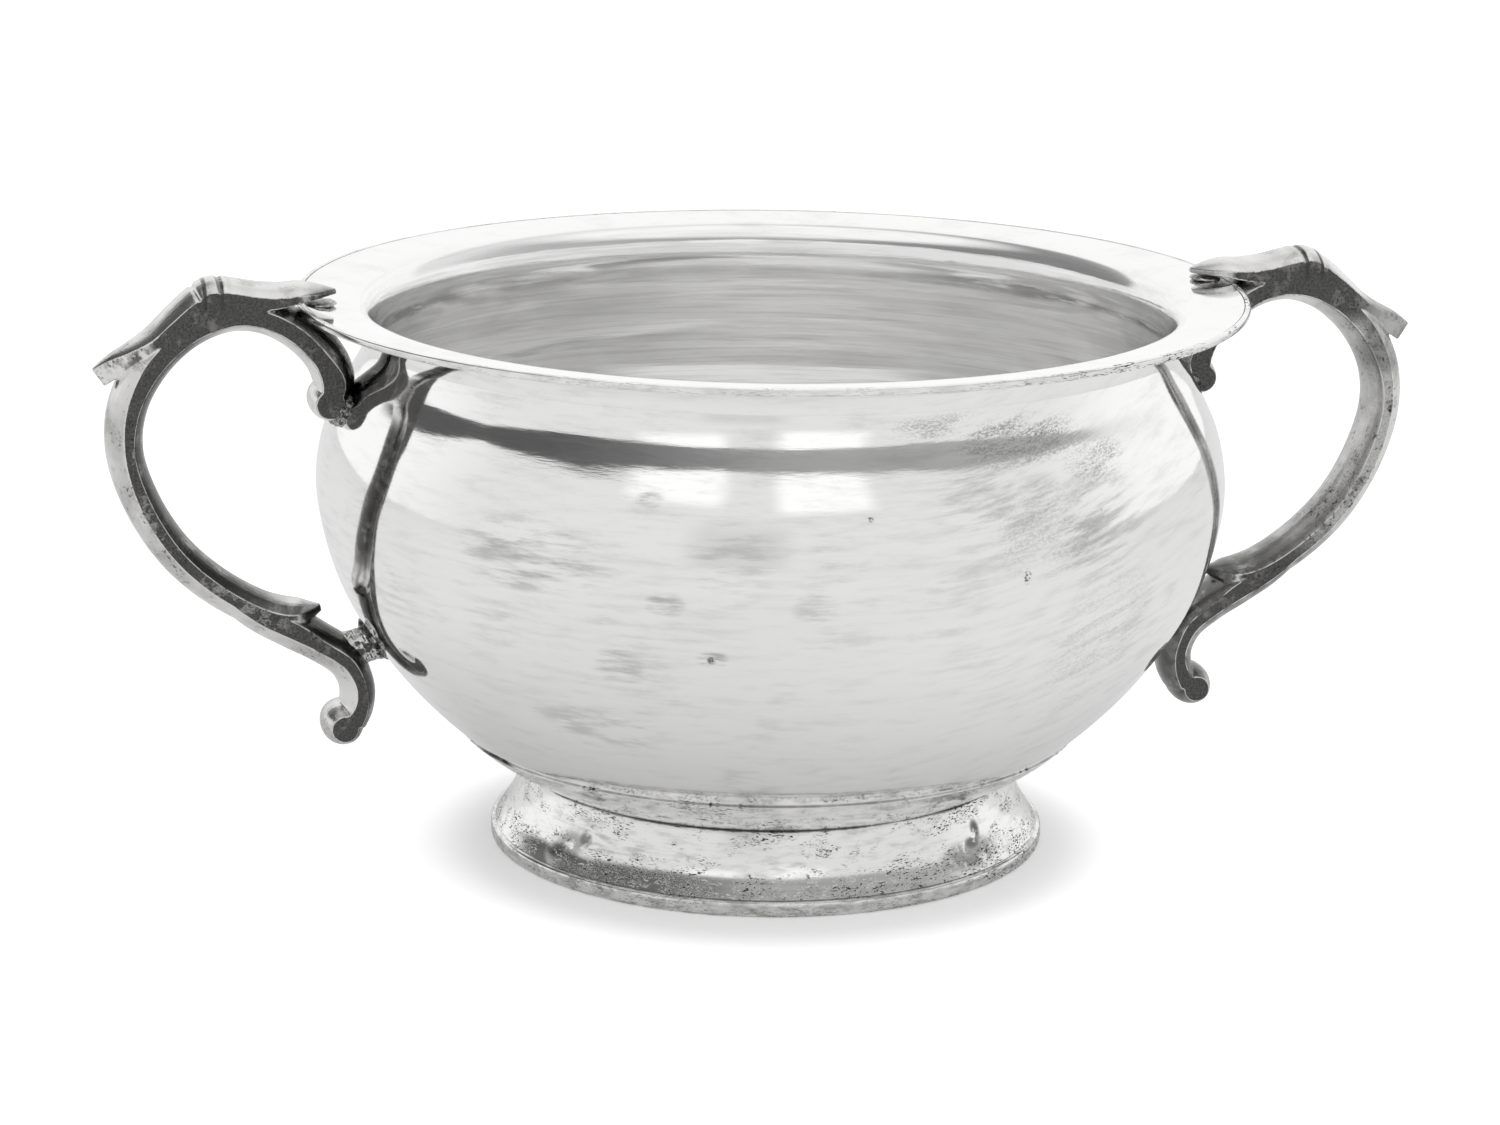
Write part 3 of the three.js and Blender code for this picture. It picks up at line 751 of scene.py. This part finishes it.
class Nodes:
    """Short ways to add the nodes of one material or of the world."""

    def __init__(self, data, output="ShaderNodeOutputMaterial"):
        data.use_nodes = True
        self.data = data
        self.tree = data.node_tree
        self.tree.nodes.clear()
        self.surface = self.add(output).inputs["Surface"]
        self.coords = self.add("ShaderNodeTexCoord").outputs
        self.place = self.coords["Object"]

    def add(self, kind, **values):
        node = self.tree.nodes.new(kind)
        for key, value in values.items():
            setattr(node, key, value)
        return node

    def link(self, a, b):
        self.tree.links.new(a, b)

    def put(self, socket, value):
        """Links a socket, or sets a plain value."""
        if isinstance(value, bpy.types.NodeSocket):
            self.link(value, socket)
        else:
            socket.default_value = value

    def math(self, operation, *values):
        node = self.add("ShaderNodeMath", operation=operation)
        for socket, value in zip(node.inputs, values):
            self.put(socket, value)
        return node.outputs[0]

    def times(self, value, *others):
        for other in others:
            value = self.math("MULTIPLY", value, other)
        return value

    def plus(self, value, *others):
        for other in others:
            value = self.math("ADD", value, other)
        return value

    def minus(self, a, b):
        return self.math("SUBTRACT", a, b)

    def apart(self, a, b):
        """How far apart two values are."""
        return self.math("ABSOLUTE", self.minus(a, b))

    def less(self, value, share):
        """The value, less that share of it."""
        return self.times(value, self.minus(1.0, share))

    def unsettled(self, value, by, amount):
        """The value, moved up and down by a noise."""
        return self.plus(value, self.times(self.minus(by, 0.5), amount))

    def mapped(self, vector, scale=(1, 1, 1), shift=(0, 0, 0)):
        node = self.add("ShaderNodeMapping")
        self.put(node.inputs["Vector"], vector)
        node.inputs["Scale"].default_value = scale
        node.inputs["Location"].default_value = shift
        return node.outputs[0]

    def split(self, vector):
        node = self.add("ShaderNodeSeparateXYZ")
        self.link(vector, node.inputs[0])
        return node.outputs

    def joined(self, x, y, z):
        node = self.add("ShaderNodeCombineXYZ")
        for socket, value in zip(node.inputs, (x, y, z)):
            self.link(value, socket)
        return node.outputs[0]

    def noise(self, scale, detail, rough, vector=None):
        node = self.add("ShaderNodeTexNoise")
        self.link(vector or self.place, node.inputs["Vector"])
        node.inputs["Scale"].default_value = scale
        node.inputs["Detail"].default_value = detail
        node.inputs["Roughness"].default_value = rough
        return node.outputs["Fac"]

    def ramp(self, value, low, high, start=0.0, end=1.0):
        """Goes smoothly from start, where the value is low, to end, where it is high."""
        node = self.add("ShaderNodeMapRange")
        node.interpolation_type = "SMOOTHSTEP"
        if low > high:
            low, high, start, end = high, low, end, start
        self.put(node.inputs["Value"], value)
        node.inputs["From Min"].default_value = low
        node.inputs["From Max"].default_value = high
        node.inputs["To Min"].default_value = start
        node.inputs["To Max"].default_value = end
        return node.outputs[0]

    def mix(self, share, a, b):
        """From colour a to colour b."""
        node = self.add("ShaderNodeMix", data_type="RGBA")
        self.put(node.inputs["Factor"], share)
        self.put(node.inputs["A"], a if isinstance(a, bpy.types.NodeSocket) else (*a, 1))
        self.put(node.inputs["B"], b if isinstance(b, bpy.types.NodeSocket) else (*b, 1))
        return node.outputs["Result"]

    def lerp(self, share, a, b):
        """From number a to number b."""
        node = self.add("ShaderNodeMix", data_type="FLOAT")
        self.put(node.inputs["Factor"], share)
        self.put(node.inputs["A"], a)
        self.put(node.inputs["B"], b)
        return node.outputs["Result"]

    def around(self):
        """Finds the angle, radius and height about the bowl's axis, and a vector of them."""
        x, y, z = self.split(self.place)
        self.angle = self.math("ARCTAN2", y, x)
        self.radius = self.math("SQRT", self.plus(self.times(x, x), self.times(y, y)))
        self.height = z
        self.round_bowl = self.joined(self.angle, self.radius, self.height)

    def streaks(self, scale, detail, rough):
        """Noise with a scale of its own for the angle, the radius and the height; after around."""
        return self.noise(1.0, detail, rough, self.mapped(self.round_bowl, scale))

    def spot(self, angle, height, wide, high):
        """1 at a place on the bowl, falling to 0 at an angle and a height away; after around."""
        x = self.times(self.minus(self.angle, angle), 1 / wide)
        z = self.times(self.minus(self.height, height), 1 / high)
        return self.ramp(self.plus(self.times(x, x), self.times(z, z)), 1.0, 0.1)

    def spots(self, places, shade=0.0):
        """The strongest of a shade and the spots at those places; after around."""
        for angle, height, wide, high, strength in places:
            spot = self.times(self.spot(angle, height, wide, high), strength)
            shade = self.math("MAXIMUM", shade, spot)
        return shade

    def bump(self, height, distance, strength):
        node = self.add("ShaderNodeBump")
        self.put(node.inputs["Height"], height)
        node.inputs["Distance"].default_value = distance
        node.inputs["Strength"].default_value = strength
        return node.outputs[0]

    def metal(self, colour, roughness, normal, metallic=1.0):
        shader = self.add("ShaderNodeBsdfPrincipled")
        self.put(shader.inputs["Metallic"], metallic)
        self.put(shader.inputs["Base Color"], colour)
        self.put(shader.inputs["Roughness"], roughness)
        self.link(normal, shader.inputs["Normal"])
        self.link(shader.outputs[0], self.surface)
        return self.data


def new_material(name):
    return Nodes(bpy.data.materials.new(name))


# Sheet of the bowl

def neck_painted_reflection(n, strokes, soft, inside):
    """A painted dark reflection: a ragged line round the neck inside, weaker in front and behind."""
    off = n.unsettled(n.apart(n.height, NECK_LINE), soft, 0.004)
    aside = n.ramp(n.math("ABSOLUTE", n.math("SINE", n.angle)), 0.95, 0.35, 0.15, 0.9)
    return n.times(inside, aside, n.ramp(off, 0.0016, 0.0002), n.ramp(strokes, 0.36, 0.52))


def ring_reflections_and_hairs(n, rings):
    """Painted highlights and darker painted reflection bands in rings, and fine hairs, on the inner
    wall, plain at the middle.
    """
    colour = n.mix(n.ramp(rings, 0.46, 0.6), RING_PAINTED_HIGHLIGHT, RING_PAINTED_DARK_BAND)
    hairs = n.streaks((2.5, 60, 1500), 4, 0.65)
    colour = n.mix(n.ramp(hairs, 0.5, 0.62, 0.0, 0.4), colour, SHEET_STROKE)
    return n.mix(n.ramp(n.radius, 0.03, 0.006), colour, RING_MIDDLE)


def polished_silver():
    """Hand polished sheet: fine strokes round the bowl, grey smudges, dry grain, a few nicks."""
    n = new_material("polished_silver")
    n.around()
    # Strokes climb a little towards the right end
    climb = n.plus(n.height, n.times(n.ramp(n.angle, *CLIMB_ANGLE), -0.012))
    n.round_bowl = n.joined(n.angle, n.radius, climb)
    strokes = n.streaks((7, 60, 560), 7, 0.66)
    # They fade out at the middle of the bottom
    strokes = n.lerp(n.ramp(n.radius, 0.006, 0.03), 0.5, strokes)
    soft = n.streaks((3, 20, 45), 4, 0.55)
    fine = n.streaks((22, 400, 2400), 3, 0.6)
    grain = n.streaks((110, 1500, 3600), 3, 0.7)
    blotch = n.streaks((2.6, 10, 38), 5, 0.62)
    rings = n.streaks((1.6, 40, 420), 5, 0.65)
    inside = n.add("ShaderNodeAttribute", attribute_name="inside").outputs["Fac"]
    outside = n.minus(1.0, inside)
    wall = n.times(inside, n.ramp(n.height, *INNER_WALL))
    worn = n.spots(SMUDGES, n.times(n.ramp(blotch, 0.5, 0.68), 0.42))
    smudge = n.times(worn, n.lerp(inside, 1.0, 0.5), n.ramp(strokes, 0.4, 0.66))
    haze = n.times(n.ramp(soft, 0.4, 0.78), n.ramp(strokes, 0.36, 0.75), n.lerp(inside, 1.0, 0.3))
    dry = n.times(n.spots(DRY_PLACES), outside, n.ramp(strokes, 0.34, 0.6), n.ramp(grain, 0.4, 0.58))
    nick = n.times(n.spots(NICKS), outside, n.ramp(n.noise(1300, 3, 0.6), 0.42, 0.56))
    colour = n.mix(haze, SHEET, SHEET_HAZE)
    colour = n.mix(n.ramp(strokes, 0.48, 0.72, 0.0, 0.24), colour, SHEET_STROKE)
    colour = n.mix(smudge, colour, SHEET_SMUDGE)
    colour = n.mix(dry, colour, SHEET_DRY)
    colour = n.mix(nick, colour, SHEET_NICK)
    # Painted highlights and darker painted reflection bands in rings on the inner wall
    colour = n.mix(n.times(wall, 0.95), colour, ring_reflections_and_hairs(n, rings))
    # A painted dark reflection line round the neck inside
    colour = n.mix(neck_painted_reflection(n, strokes, soft, inside), colour, NECK_PAINTED_REFLECTION)
    rough = n.lerp(n.ramp(fine, 0.35, 0.75), 0.045, 0.085)
    rough = n.plus(rough, n.times(smudge, 0.14), n.times(dry, 0.2))
    # Spoons have worn the bottom matt inside
    bottom = n.times(inside, n.ramp(n.height, *WORN_BOTTOM))
    rough = n.plus(rough, n.times(bottom, n.lerp(strokes, 0.06, 0.16)))
    height = n.plus(n.times(rings, wall, 2.4), n.times(fine, 0.22))
    return n.metal(colour, rough, n.bump(height, 0.00002, 1.0), n.lerp(wall, 1.0, 0.68))


# Foot and wires

def specks(n, low, high, amount):
    """Small dark dashes in lines round the bowl, with more of them at the lower height."""
    lines = n.streaks((60, 900, 4200), 3, 0.7)
    where = n.streaks((6, 60, 260), 4, 0.62)
    near = n.plus(where, n.times(n.ramp(n.height, high, low), amount))
    return n.times(n.ramp(lines, 0.54, 0.6), n.ramp(near, 0.5, 0.6))


def foot_silver():
    """Silver with dark dashes, painted dark reflections and a painted shadow along each seam."""
    n = new_material("foot_silver")
    n.around()
    fine = n.streaks((10, 100, 900), 6, 0.62)
    broad = n.streaks((3, 60, 160), 4, 0.6)
    ragged = n.streaks((16, 100, 500), 5, 0.65)
    fading = n.ramp(n.streaks((1.3, 0, 0), 2, 0.5), 0.3, 0.55)
    dark = specks(n, 0.003, 0.008, 0.1)
    worn = n.times(n.ramp(broad, 0.52, 0.7), n.ramp(fine, 0.4, 0.6))
    colour = n.mix(n.ramp(fine, 0.45, 0.72), FOOT_BRIGHT, FOOT_DULL)
    colour = n.mix(worn, colour, FOOT_WORN)
    # Painted shade and a painted shadow line along each seam, where the parts meet
    for radius, drop, half_width, strength in PAINTED_SEAM_SHADOWS:
        width = half_width * MM
        off = n.apart(n.height, float(bowl_place(radius)[0][1] - drop) * MM)
        off = n.unsettled(off, ragged, width * 2.4)
        shade = n.times(n.ramp(off, width * 3.5, 0.0, 0.0, 0.3), fading)
        colour = n.mix(shade, colour, SEAM_SHADE)
        line = n.times(n.ramp(off, width, width * 0.2, 0.0, strength), fading)
        colour = n.mix(line, colour, SEAM_PAINTED_SHADOW)
    # Painted dark reflections at both sides of the foot, mottled
    for angle, height, wide, high, strength in FOOT_PAINTED_REFLECTIONS:
        mark = n.times(n.spot(angle, height, wide, high), n.ramp(ragged, 0.36, 0.5), strength)
        colour = n.mix(mark, colour, FOOT_PAINTED_REFLECTION)
    colour = n.mix(dark, colour, FOOT_SPECK)
    rough = n.plus(n.lerp(fine, 0.07, 0.17), n.times(dark, 0.4))
    return n.metal(colour, rough, n.bump(n.times(dark, -1.0), 0.0002, 0.4))


def wire(name, bright, dull, specks_at, more_at):
    """Wire with dark specks, with more of them between two angles than a share elsewhere."""
    n = new_material(name)
    n.around()
    start, end, elsewhere = more_at
    here = n.times(n.ramp(n.angle, start, start + 0.5), n.ramp(n.angle, end + 0.5, end))
    dark = n.times(specks(n, *specks_at), n.lerp(here, elsewhere, 1.0))
    fine = n.streaks((14, 300, 900), 5, 0.6)
    colour = n.mix(n.ramp(fine, 0.4, 0.66), bright, dull)
    colour = n.mix(dark, colour, WIRE_SPECK)
    rough = n.plus(n.lerp(fine, 0.1, 0.2), n.times(dark, 0.4))
    return n.metal(colour, rough, n.bump(n.times(dark, -1.0), 0.0002, 0.5))


def rim_silver():
    return wire("rim_silver", RIM_BRIGHT, RIM_DULL, (0.1058, 0.1064, 0.15), (-1.5, -0.3, 0.25))


def wire_silver():
    return wire("wire_silver", WIRE_BRIGHT, WIRE_DULL, (0.0012, 0.0036, 0.1), (-1.2, -0.2, 0.5))


# Castings and solder

def crown_colour(n, wide, patch, tarnish, spur):
    """Crowned faces: worn silver, tarnished by the bowl and on the tail of the right handle."""
    colour = n.mix(n.ramp(wide, 0.4, 0.72), CROWN_BRIGHT, CROWN_DULL)
    colour = n.mix(n.ramp(patch, 0.54, 0.66, 0.0, 0.4), colour, CROWN_PATCH)
    colour = n.mix(n.times(tarnish, n.ramp(patch, 0.1, 0.5)), colour, CROWN_TARNISH)
    tail = n.times(n.ramp(n.x, -0.01, 0.01), n.ramp(n.z, *TAIL_TOP))
    colour = n.mix(n.times(tail, n.ramp(patch, 0.3, 0.55, 0.45, 0.95)), colour, TAIL_TARNISH)
    return n.mix(n.times(spur, n.ramp(patch, 0.3, 0.6, 0.5, 0.9)), colour, SPUR_CROWN)


def side_colour(n, grain, patch, loop, spur):
    """Flat sides: dark and matt, but worn bright along the loop of the right handle."""
    skin = n.noise(2600, 3, 0.6)
    marred = n.plus(n.times(patch, 0.7), n.times(grain, 0.3))
    colour = n.mix(n.ramp(skin, 0.35, 0.68), SIDE_DARK, SIDE_GREY)
    colour = n.mix(n.ramp(patch, 0.54, 0.66), colour, SIDE_PATCH)
    bright = n.mix(n.ramp(skin, 0.35, 0.65), LOOP_GREY, LOOP_BRIGHT)
    colour = n.mix(n.times(loop, n.ramp(marred, 0.6, 0.5)), colour, bright)
    # The left handle has a few worn flecks along the lower part of its loop
    lower = n.times(n.ramp(n.x, *FLECKS_OUT), n.ramp(n.z, *FLECKS_TOP))
    flecks = n.times(n.ramp(marred, 0.49, 0.55), n.ramp(skin, 0.36, 0.56, 0.35, 0.9))
    colour = n.mix(n.times(lower, flecks), colour, SIDE_FLECK)
    return n.mix(spur, colour, n.mix(n.ramp(patch, 0.42, 0.56), SPUR_DARK, SPUR_GREY))


def groove_tarnish(n):
    """Tarnish lies in the two grooves over the knuckle."""
    groove = 0.0
    for out in GROOVES_OUT:
        line = n.ramp(n.apart(n.math("ABSOLUTE", n.x), out), 0.0005, 0.0002)
        groove = n.math("MAXIMUM", groove, line)
    return n.times(groove, n.ramp(n.z, *KNUCKLE_LOW))


def cast_silver():
    """Worn crowned faces, dark matt flat sides with a bright line along each edge, worn and partly a
    painted highlight, black pits.
    """
    n = new_material("cast_silver")
    place = n.split(n.place)
    n.x, n.z = place["X"], place["Z"]
    facing = n.split(n.add("ShaderNodeNewGeometry").outputs["Normal"])
    sideways = n.math("ABSOLUTE", facing["Y"])
    # Outward is along x away from the bowl
    outward = n.times(facing["X"], n.math("SIGN", n.x))
    grain = n.noise(1500, 4, 0.7)
    patch = n.noise(210, 5, 0.68)
    wide = n.noise(60, 4, 0.6)
    loop = n.times(n.ramp(n.x, *LOOP_OUT), n.ramp(n.z, *LOOP_LOW), n.ramp(n.z, *LOOP_TOP))
    spur = n.times(n.ramp(n.x, *SPUR_OUT), n.ramp(n.z, *SPUR_LOW))
    # Faces that turn to the bowl stay tarnished, more at the left than at the right
    left = n.ramp(n.x, 0.0, -0.02)
    tarnish = n.times(n.ramp(outward, -0.1, -0.55), n.lerp(left, 0.36, 0.95))
    flat = n.ramp(n.unsettled(sideways, patch, 0.16), 0.88, 0.95)
    sides = side_colour(n, grain, patch, loop, spur)
    colour = n.mix(flat, crown_colour(n, wide, patch, tarnish, spur), sides)
    groove = groove_tarnish(n)
    colour = n.mix(n.times(groove, n.ramp(patch, 0.3, 0.5, 0.4, 0.9)), colour, GROOVE_TARNISH)
    # Bright line along each edge: worn bright and partly a painted highlight
    edge = n.times(n.ramp(sideways, 0.74, 0.84), n.ramp(sideways, 0.985, 0.93))
    edge = n.times(edge, n.ramp(patch, 0.6, 0.46))
    edge = n.less(n.less(n.less(edge, n.times(tarnish, 0.6)), groove), n.times(spur, 0.8))
    colour = n.mix(edge, colour, EDGE_WORN_AND_HIGHLIGHT)
    speck = n.ramp(grain, 0.56, 0.62)
    shoulder = n.times(n.ramp(sideways, 0.5, 0.7), n.ramp(patch, 0.5, 0.58))
    pits = n.math("MAXIMUM", n.ramp(wide, 0.54, 0.64), n.times(shoulder, 0.8))
    loop_pits = n.times(speck, loop, n.ramp(patch, 0.46, 0.56))
    pits = n.math("MAXIMUM", n.times(speck, pits), loop_pits)
    colour = n.mix(n.times(pits, 0.9), colour, PIT)
    rough = n.lerp(edge, n.lerp(flat, n.lerp(patch, 0.14, 0.26), 0.5), 0.25)
    return n.metal(colour, rough, n.bump(grain, 0.00012, 0.35))


def solder_silver(name, dark, strength):
    """Grainy solder, whose lumps stand out by that strength."""
    n = new_material(name)
    grain = n.noise(900, 5, 0.7)
    lumps = n.noise(350, 3, 0.6)
    colour = n.mix(n.ramp(grain, 0.42, 0.62), dark, SOLDER_BRIGHT)
    height = n.plus(n.times(lumps, 1.5), grain)
    return n.metal(colour, 0.35, n.bump(height, 0.0006, strength))


# Studio

def make_floor():
    """A pale floor that the camera sees as white, but for the soft shadow round the foot, which is
    partly painted as a weaker glow near the foot.
    """
    bpy.ops.mesh.primitive_circle_add(vertices=96, radius=FLOOR_RADIUS, fill_type="NGON")
    floor = bpy.context.object
    floor.name = "floor"
    n = new_material("white_floor")
    n.place = n.mapped(n.place, shift=PAINTED_SHADOW_SHIFT)
    n.around()
    diffuse = n.add("ShaderNodeBsdfDiffuse")
    diffuse.inputs["Color"].default_value = (FLOOR_TONE, FLOOR_TONE, FLOOR_TONE, 1)
    path = n.add("ShaderNodeLightPath").outputs
    # Painted shadow: the glow the camera sees is weaker near the foot
    level = n.lerp(n.ramp(n.radius, *PAINTED_SHADOW_RING), FLOOR_GLOW_PAINTED_SHADOW, FLOOR_GLOW)
    direct = n.times(path["Is Camera Ray"], level)
    mirrored = n.times(path["Is Glossy Ray"], FLOOR_MIRRORED)
    glow = n.add("ShaderNodeEmission")
    n.put(glow.inputs["Strength"], n.plus(direct, mirrored))
    both = n.add("ShaderNodeAddShader")
    n.link(diffuse.outputs[0], both.inputs[0])
    n.link(glow.outputs[0], both.inputs[1])
    n.link(both.outputs[0], n.surface)
    floor.data.materials.append(n.data)


def room_walls(n, turn, facing, z):
    """Level of the walls, with two windows in front and a grey stand between them."""
    level = n.lerp(n.ramp(facing, -0.5, 0.3), BACK_WALL, FRONT_WALL)
    for middle, half, low in WINDOWS:
        near = n.ramp(n.apart(turn, middle), half + 0.06, half - 0.06)
        level = n.lerp(n.times(n.ramp(z, low - 0.05, low + 0.05), near), level, WINDOW)
    stand = n.times(n.ramp(n.apart(turn, STAND_ANGLE), *STAND_WIDTHS), n.ramp(z, *STAND_HEIGHTS))
    return n.lerp(stand, level, STAND)


def opening_edge(n, across, facing):
    """Height of the opening's edge, which reaches lower at the sides than in front and behind."""
    front = n.plus(n.times(facing, OPENING_FRONT_RISE), OPENING_HEIGHT)
    side = n.ramp(across, 0.0, 0.6, OPENING_HEIGHT, OPENING_RIGHT_HEIGHT)
    side = n.plus(n.times(facing, OPENING_SIDE_RISE), side)
    back = n.ramp(facing, -0.6, -1.0, 0.2, 0.7)
    return n.math("MAXIMUM", n.math("MINIMUM", front, side), back)


def room_ceiling(n, across, behind, z):
    """Level of the opening: dark at the left, paler to the right, the back and the middle."""
    level = n.lerp(n.ramp(across, -0.85, 0.25), CEILING_LEFT, CEILING_FRONT)
    level = n.lerp(n.ramp(across, 0.4, 0.8), level, CEILING_RIGHT)
    level = n.lerp(n.ramp(behind, 0.1, -0.35), level, CEILING_BACK)
    return n.lerp(n.ramp(z, 0.75, 0.91), level, CEILING_MIDDLE)


def make_world():
    """A light tent that the silver mirrors, and plain white for the camera."""
    world = bpy.data.worlds.new("studio")
    bpy.context.scene.world = world
    n = Nodes(world, "ShaderNodeOutputWorld")
    x, y, z = n.split(n.coords["Generated"])
    front_x, front_y = ROOM_FRONT
    front = n.plus(n.times(x, front_x), n.times(y, front_y))
    across = n.plus(n.times(x, -front_y), n.times(y, front_x))
    turn = n.math("ARCTAN2", across, front)
    facing = n.math("COSINE", turn)
    # The opening changes to its back sooner at the right than at the left
    behind = n.plus(front, n.ramp(across, -0.2, 0.2, 0.6, 0.22))
    softness = n.ramp(behind, 0.15, -0.2, 0.012, 0.16)
    above = n.math("DIVIDE", n.minus(z, opening_edge(n, across, facing)), softness)
    ceiling = room_ceiling(n, across, behind, z)
    room = n.lerp(n.ramp(above, -0.3, 1.0), room_walls(n, turn, facing, z), ceiling)
    mirrored = n.add("ShaderNodeBackground")
    n.link(room, mirrored.inputs["Color"])
    seen = n.add("ShaderNodeBackground")
    seen.inputs["Color"].default_value = (1, 1, 1, 1)
    mix = n.add("ShaderNodeMixShader")
    n.link(n.add("ShaderNodeLightPath").outputs["Is Camera Ray"], mix.inputs["Fac"])
    n.link(mirrored.outputs[0], mix.inputs[1])
    n.link(seen.outputs[0], mix.inputs[2])
    n.link(mix.outputs[0], n.surface)


def make_lamp():
    """A broad soft lamp overhead, which gives part of the shadow round the foot and isn't mirrored.
    """
    data = bpy.data.lights.new("overhead", "AREA")
    data.shape = "DISK"
    data.size = LAMP_SIZE
    data.energy = LAMP_WATTS
    lamp = bpy.data.objects.new("overhead", data)
    lamp.location = LAMP_PLACE
    lamp.rotation_euler = (math.atan2(LAMP_PLACE[1], LAMP_PLACE[2]), 0, 0)
    lamp.visible_glossy = False
    bpy.context.scene.collection.objects.link(lamp)


def make_camera():
    """Looks at the target from the photograph's angle and distance."""
    back = Vector((
        math.sin(CAMERA_AZIMUTH) * math.cos(CAMERA_ELEVATION),
        -math.cos(CAMERA_AZIMUTH) * math.cos(CAMERA_ELEVATION),
        math.sin(CAMERA_ELEVATION),
    ))
    right = Vector((math.cos(CAMERA_AZIMUTH), math.sin(CAMERA_AZIMUTH), 0))
    up = back.cross(right)
    x_axis = right * math.cos(CAMERA_ROLL) + up * math.sin(CAMERA_ROLL)
    y_axis = up * math.cos(CAMERA_ROLL) - right * math.sin(CAMERA_ROLL)
    data = bpy.data.cameras.new("camera")
    data.sensor_fit = "HORIZONTAL"
    data.sensor_width = SENSOR_WIDTH
    data.lens = FOCAL_PIXELS / IMAGE_WIDTH * SENSOR_WIDTH
    data.shift_x = -(CENTRE_X_PIXEL - IMAGE_WIDTH / 2) / IMAGE_WIDTH
    data.shift_y = (CENTRE_Y_PIXEL - IMAGE_HEIGHT / 2) / IMAGE_WIDTH
    data.clip_start = 0.05
    data.clip_end = 60
    camera = bpy.data.objects.new("camera", data)
    bpy.context.scene.collection.objects.link(camera)
    where = (Vector(CAMERA_TARGET) + back * CAMERA_DISTANCE) * MM
    rows = Matrix((x_axis, y_axis, back)).transposed().to_4x4()
    camera.matrix_world = Matrix.Translation(where) @ rows
    bpy.context.scene.camera = camera


# The whole scene

def dress(ob, material, node):
    """Gives a piece its finish and lets it stand for a node of the solids."""
    ob.data.materials.clear()
    ob.data.materials.append(material)
    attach(ob, "root")
    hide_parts(node)


make_camera()
make_world()
make_floor()
make_lamp()

foot_metal = foot_silver()
cast_metal = cast_silver()
rough_solder = solder_silver("solder_silver", SOLDER_DARK, 0.8)
smooth_solder = solder_silver("solder_smooth", SOLDER_SMOOTH, 0.15)

dress(make_bowl(), polished_silver(), "bowl")
dress(make_rim_wire(), rim_silver(), "rim_wire")
dress(make_collar(), foot_metal, "foot_collar")
dress(make_foot(), foot_metal, "foot")
dress(make_base_wire(), wire_silver(), "foot_base_wire")
left_handle = make_handle("handle_cast_left", 0, 0, -1, 0)
dress(left_handle, cast_metal, "handle_left")
right_handle = make_handle("handle_cast_right", RIGHT_LEAN, RIGHT_RISE, 1, RIGHT_TUCK)
dress(right_handle, cast_metal, "handle_right")

for side, end, seed in ENDS:
    dress(make_strut("strut_bar_" + end, side, seed), cast_metal, "strut_" + end)
    for i, (stem, smooth, (out, height), radii, tilt, amount) in enumerate(SOLDER):
        centre = (side * out, 0, height)
        ob = lump(stem + "lump_" + end, centre, radii, side * tilt, amount, seed + i)
        dress(ob, smooth_solder if smooth else rough_solder, stem + end)

bpy.context.scene.view_settings.view_transform = "Standard"
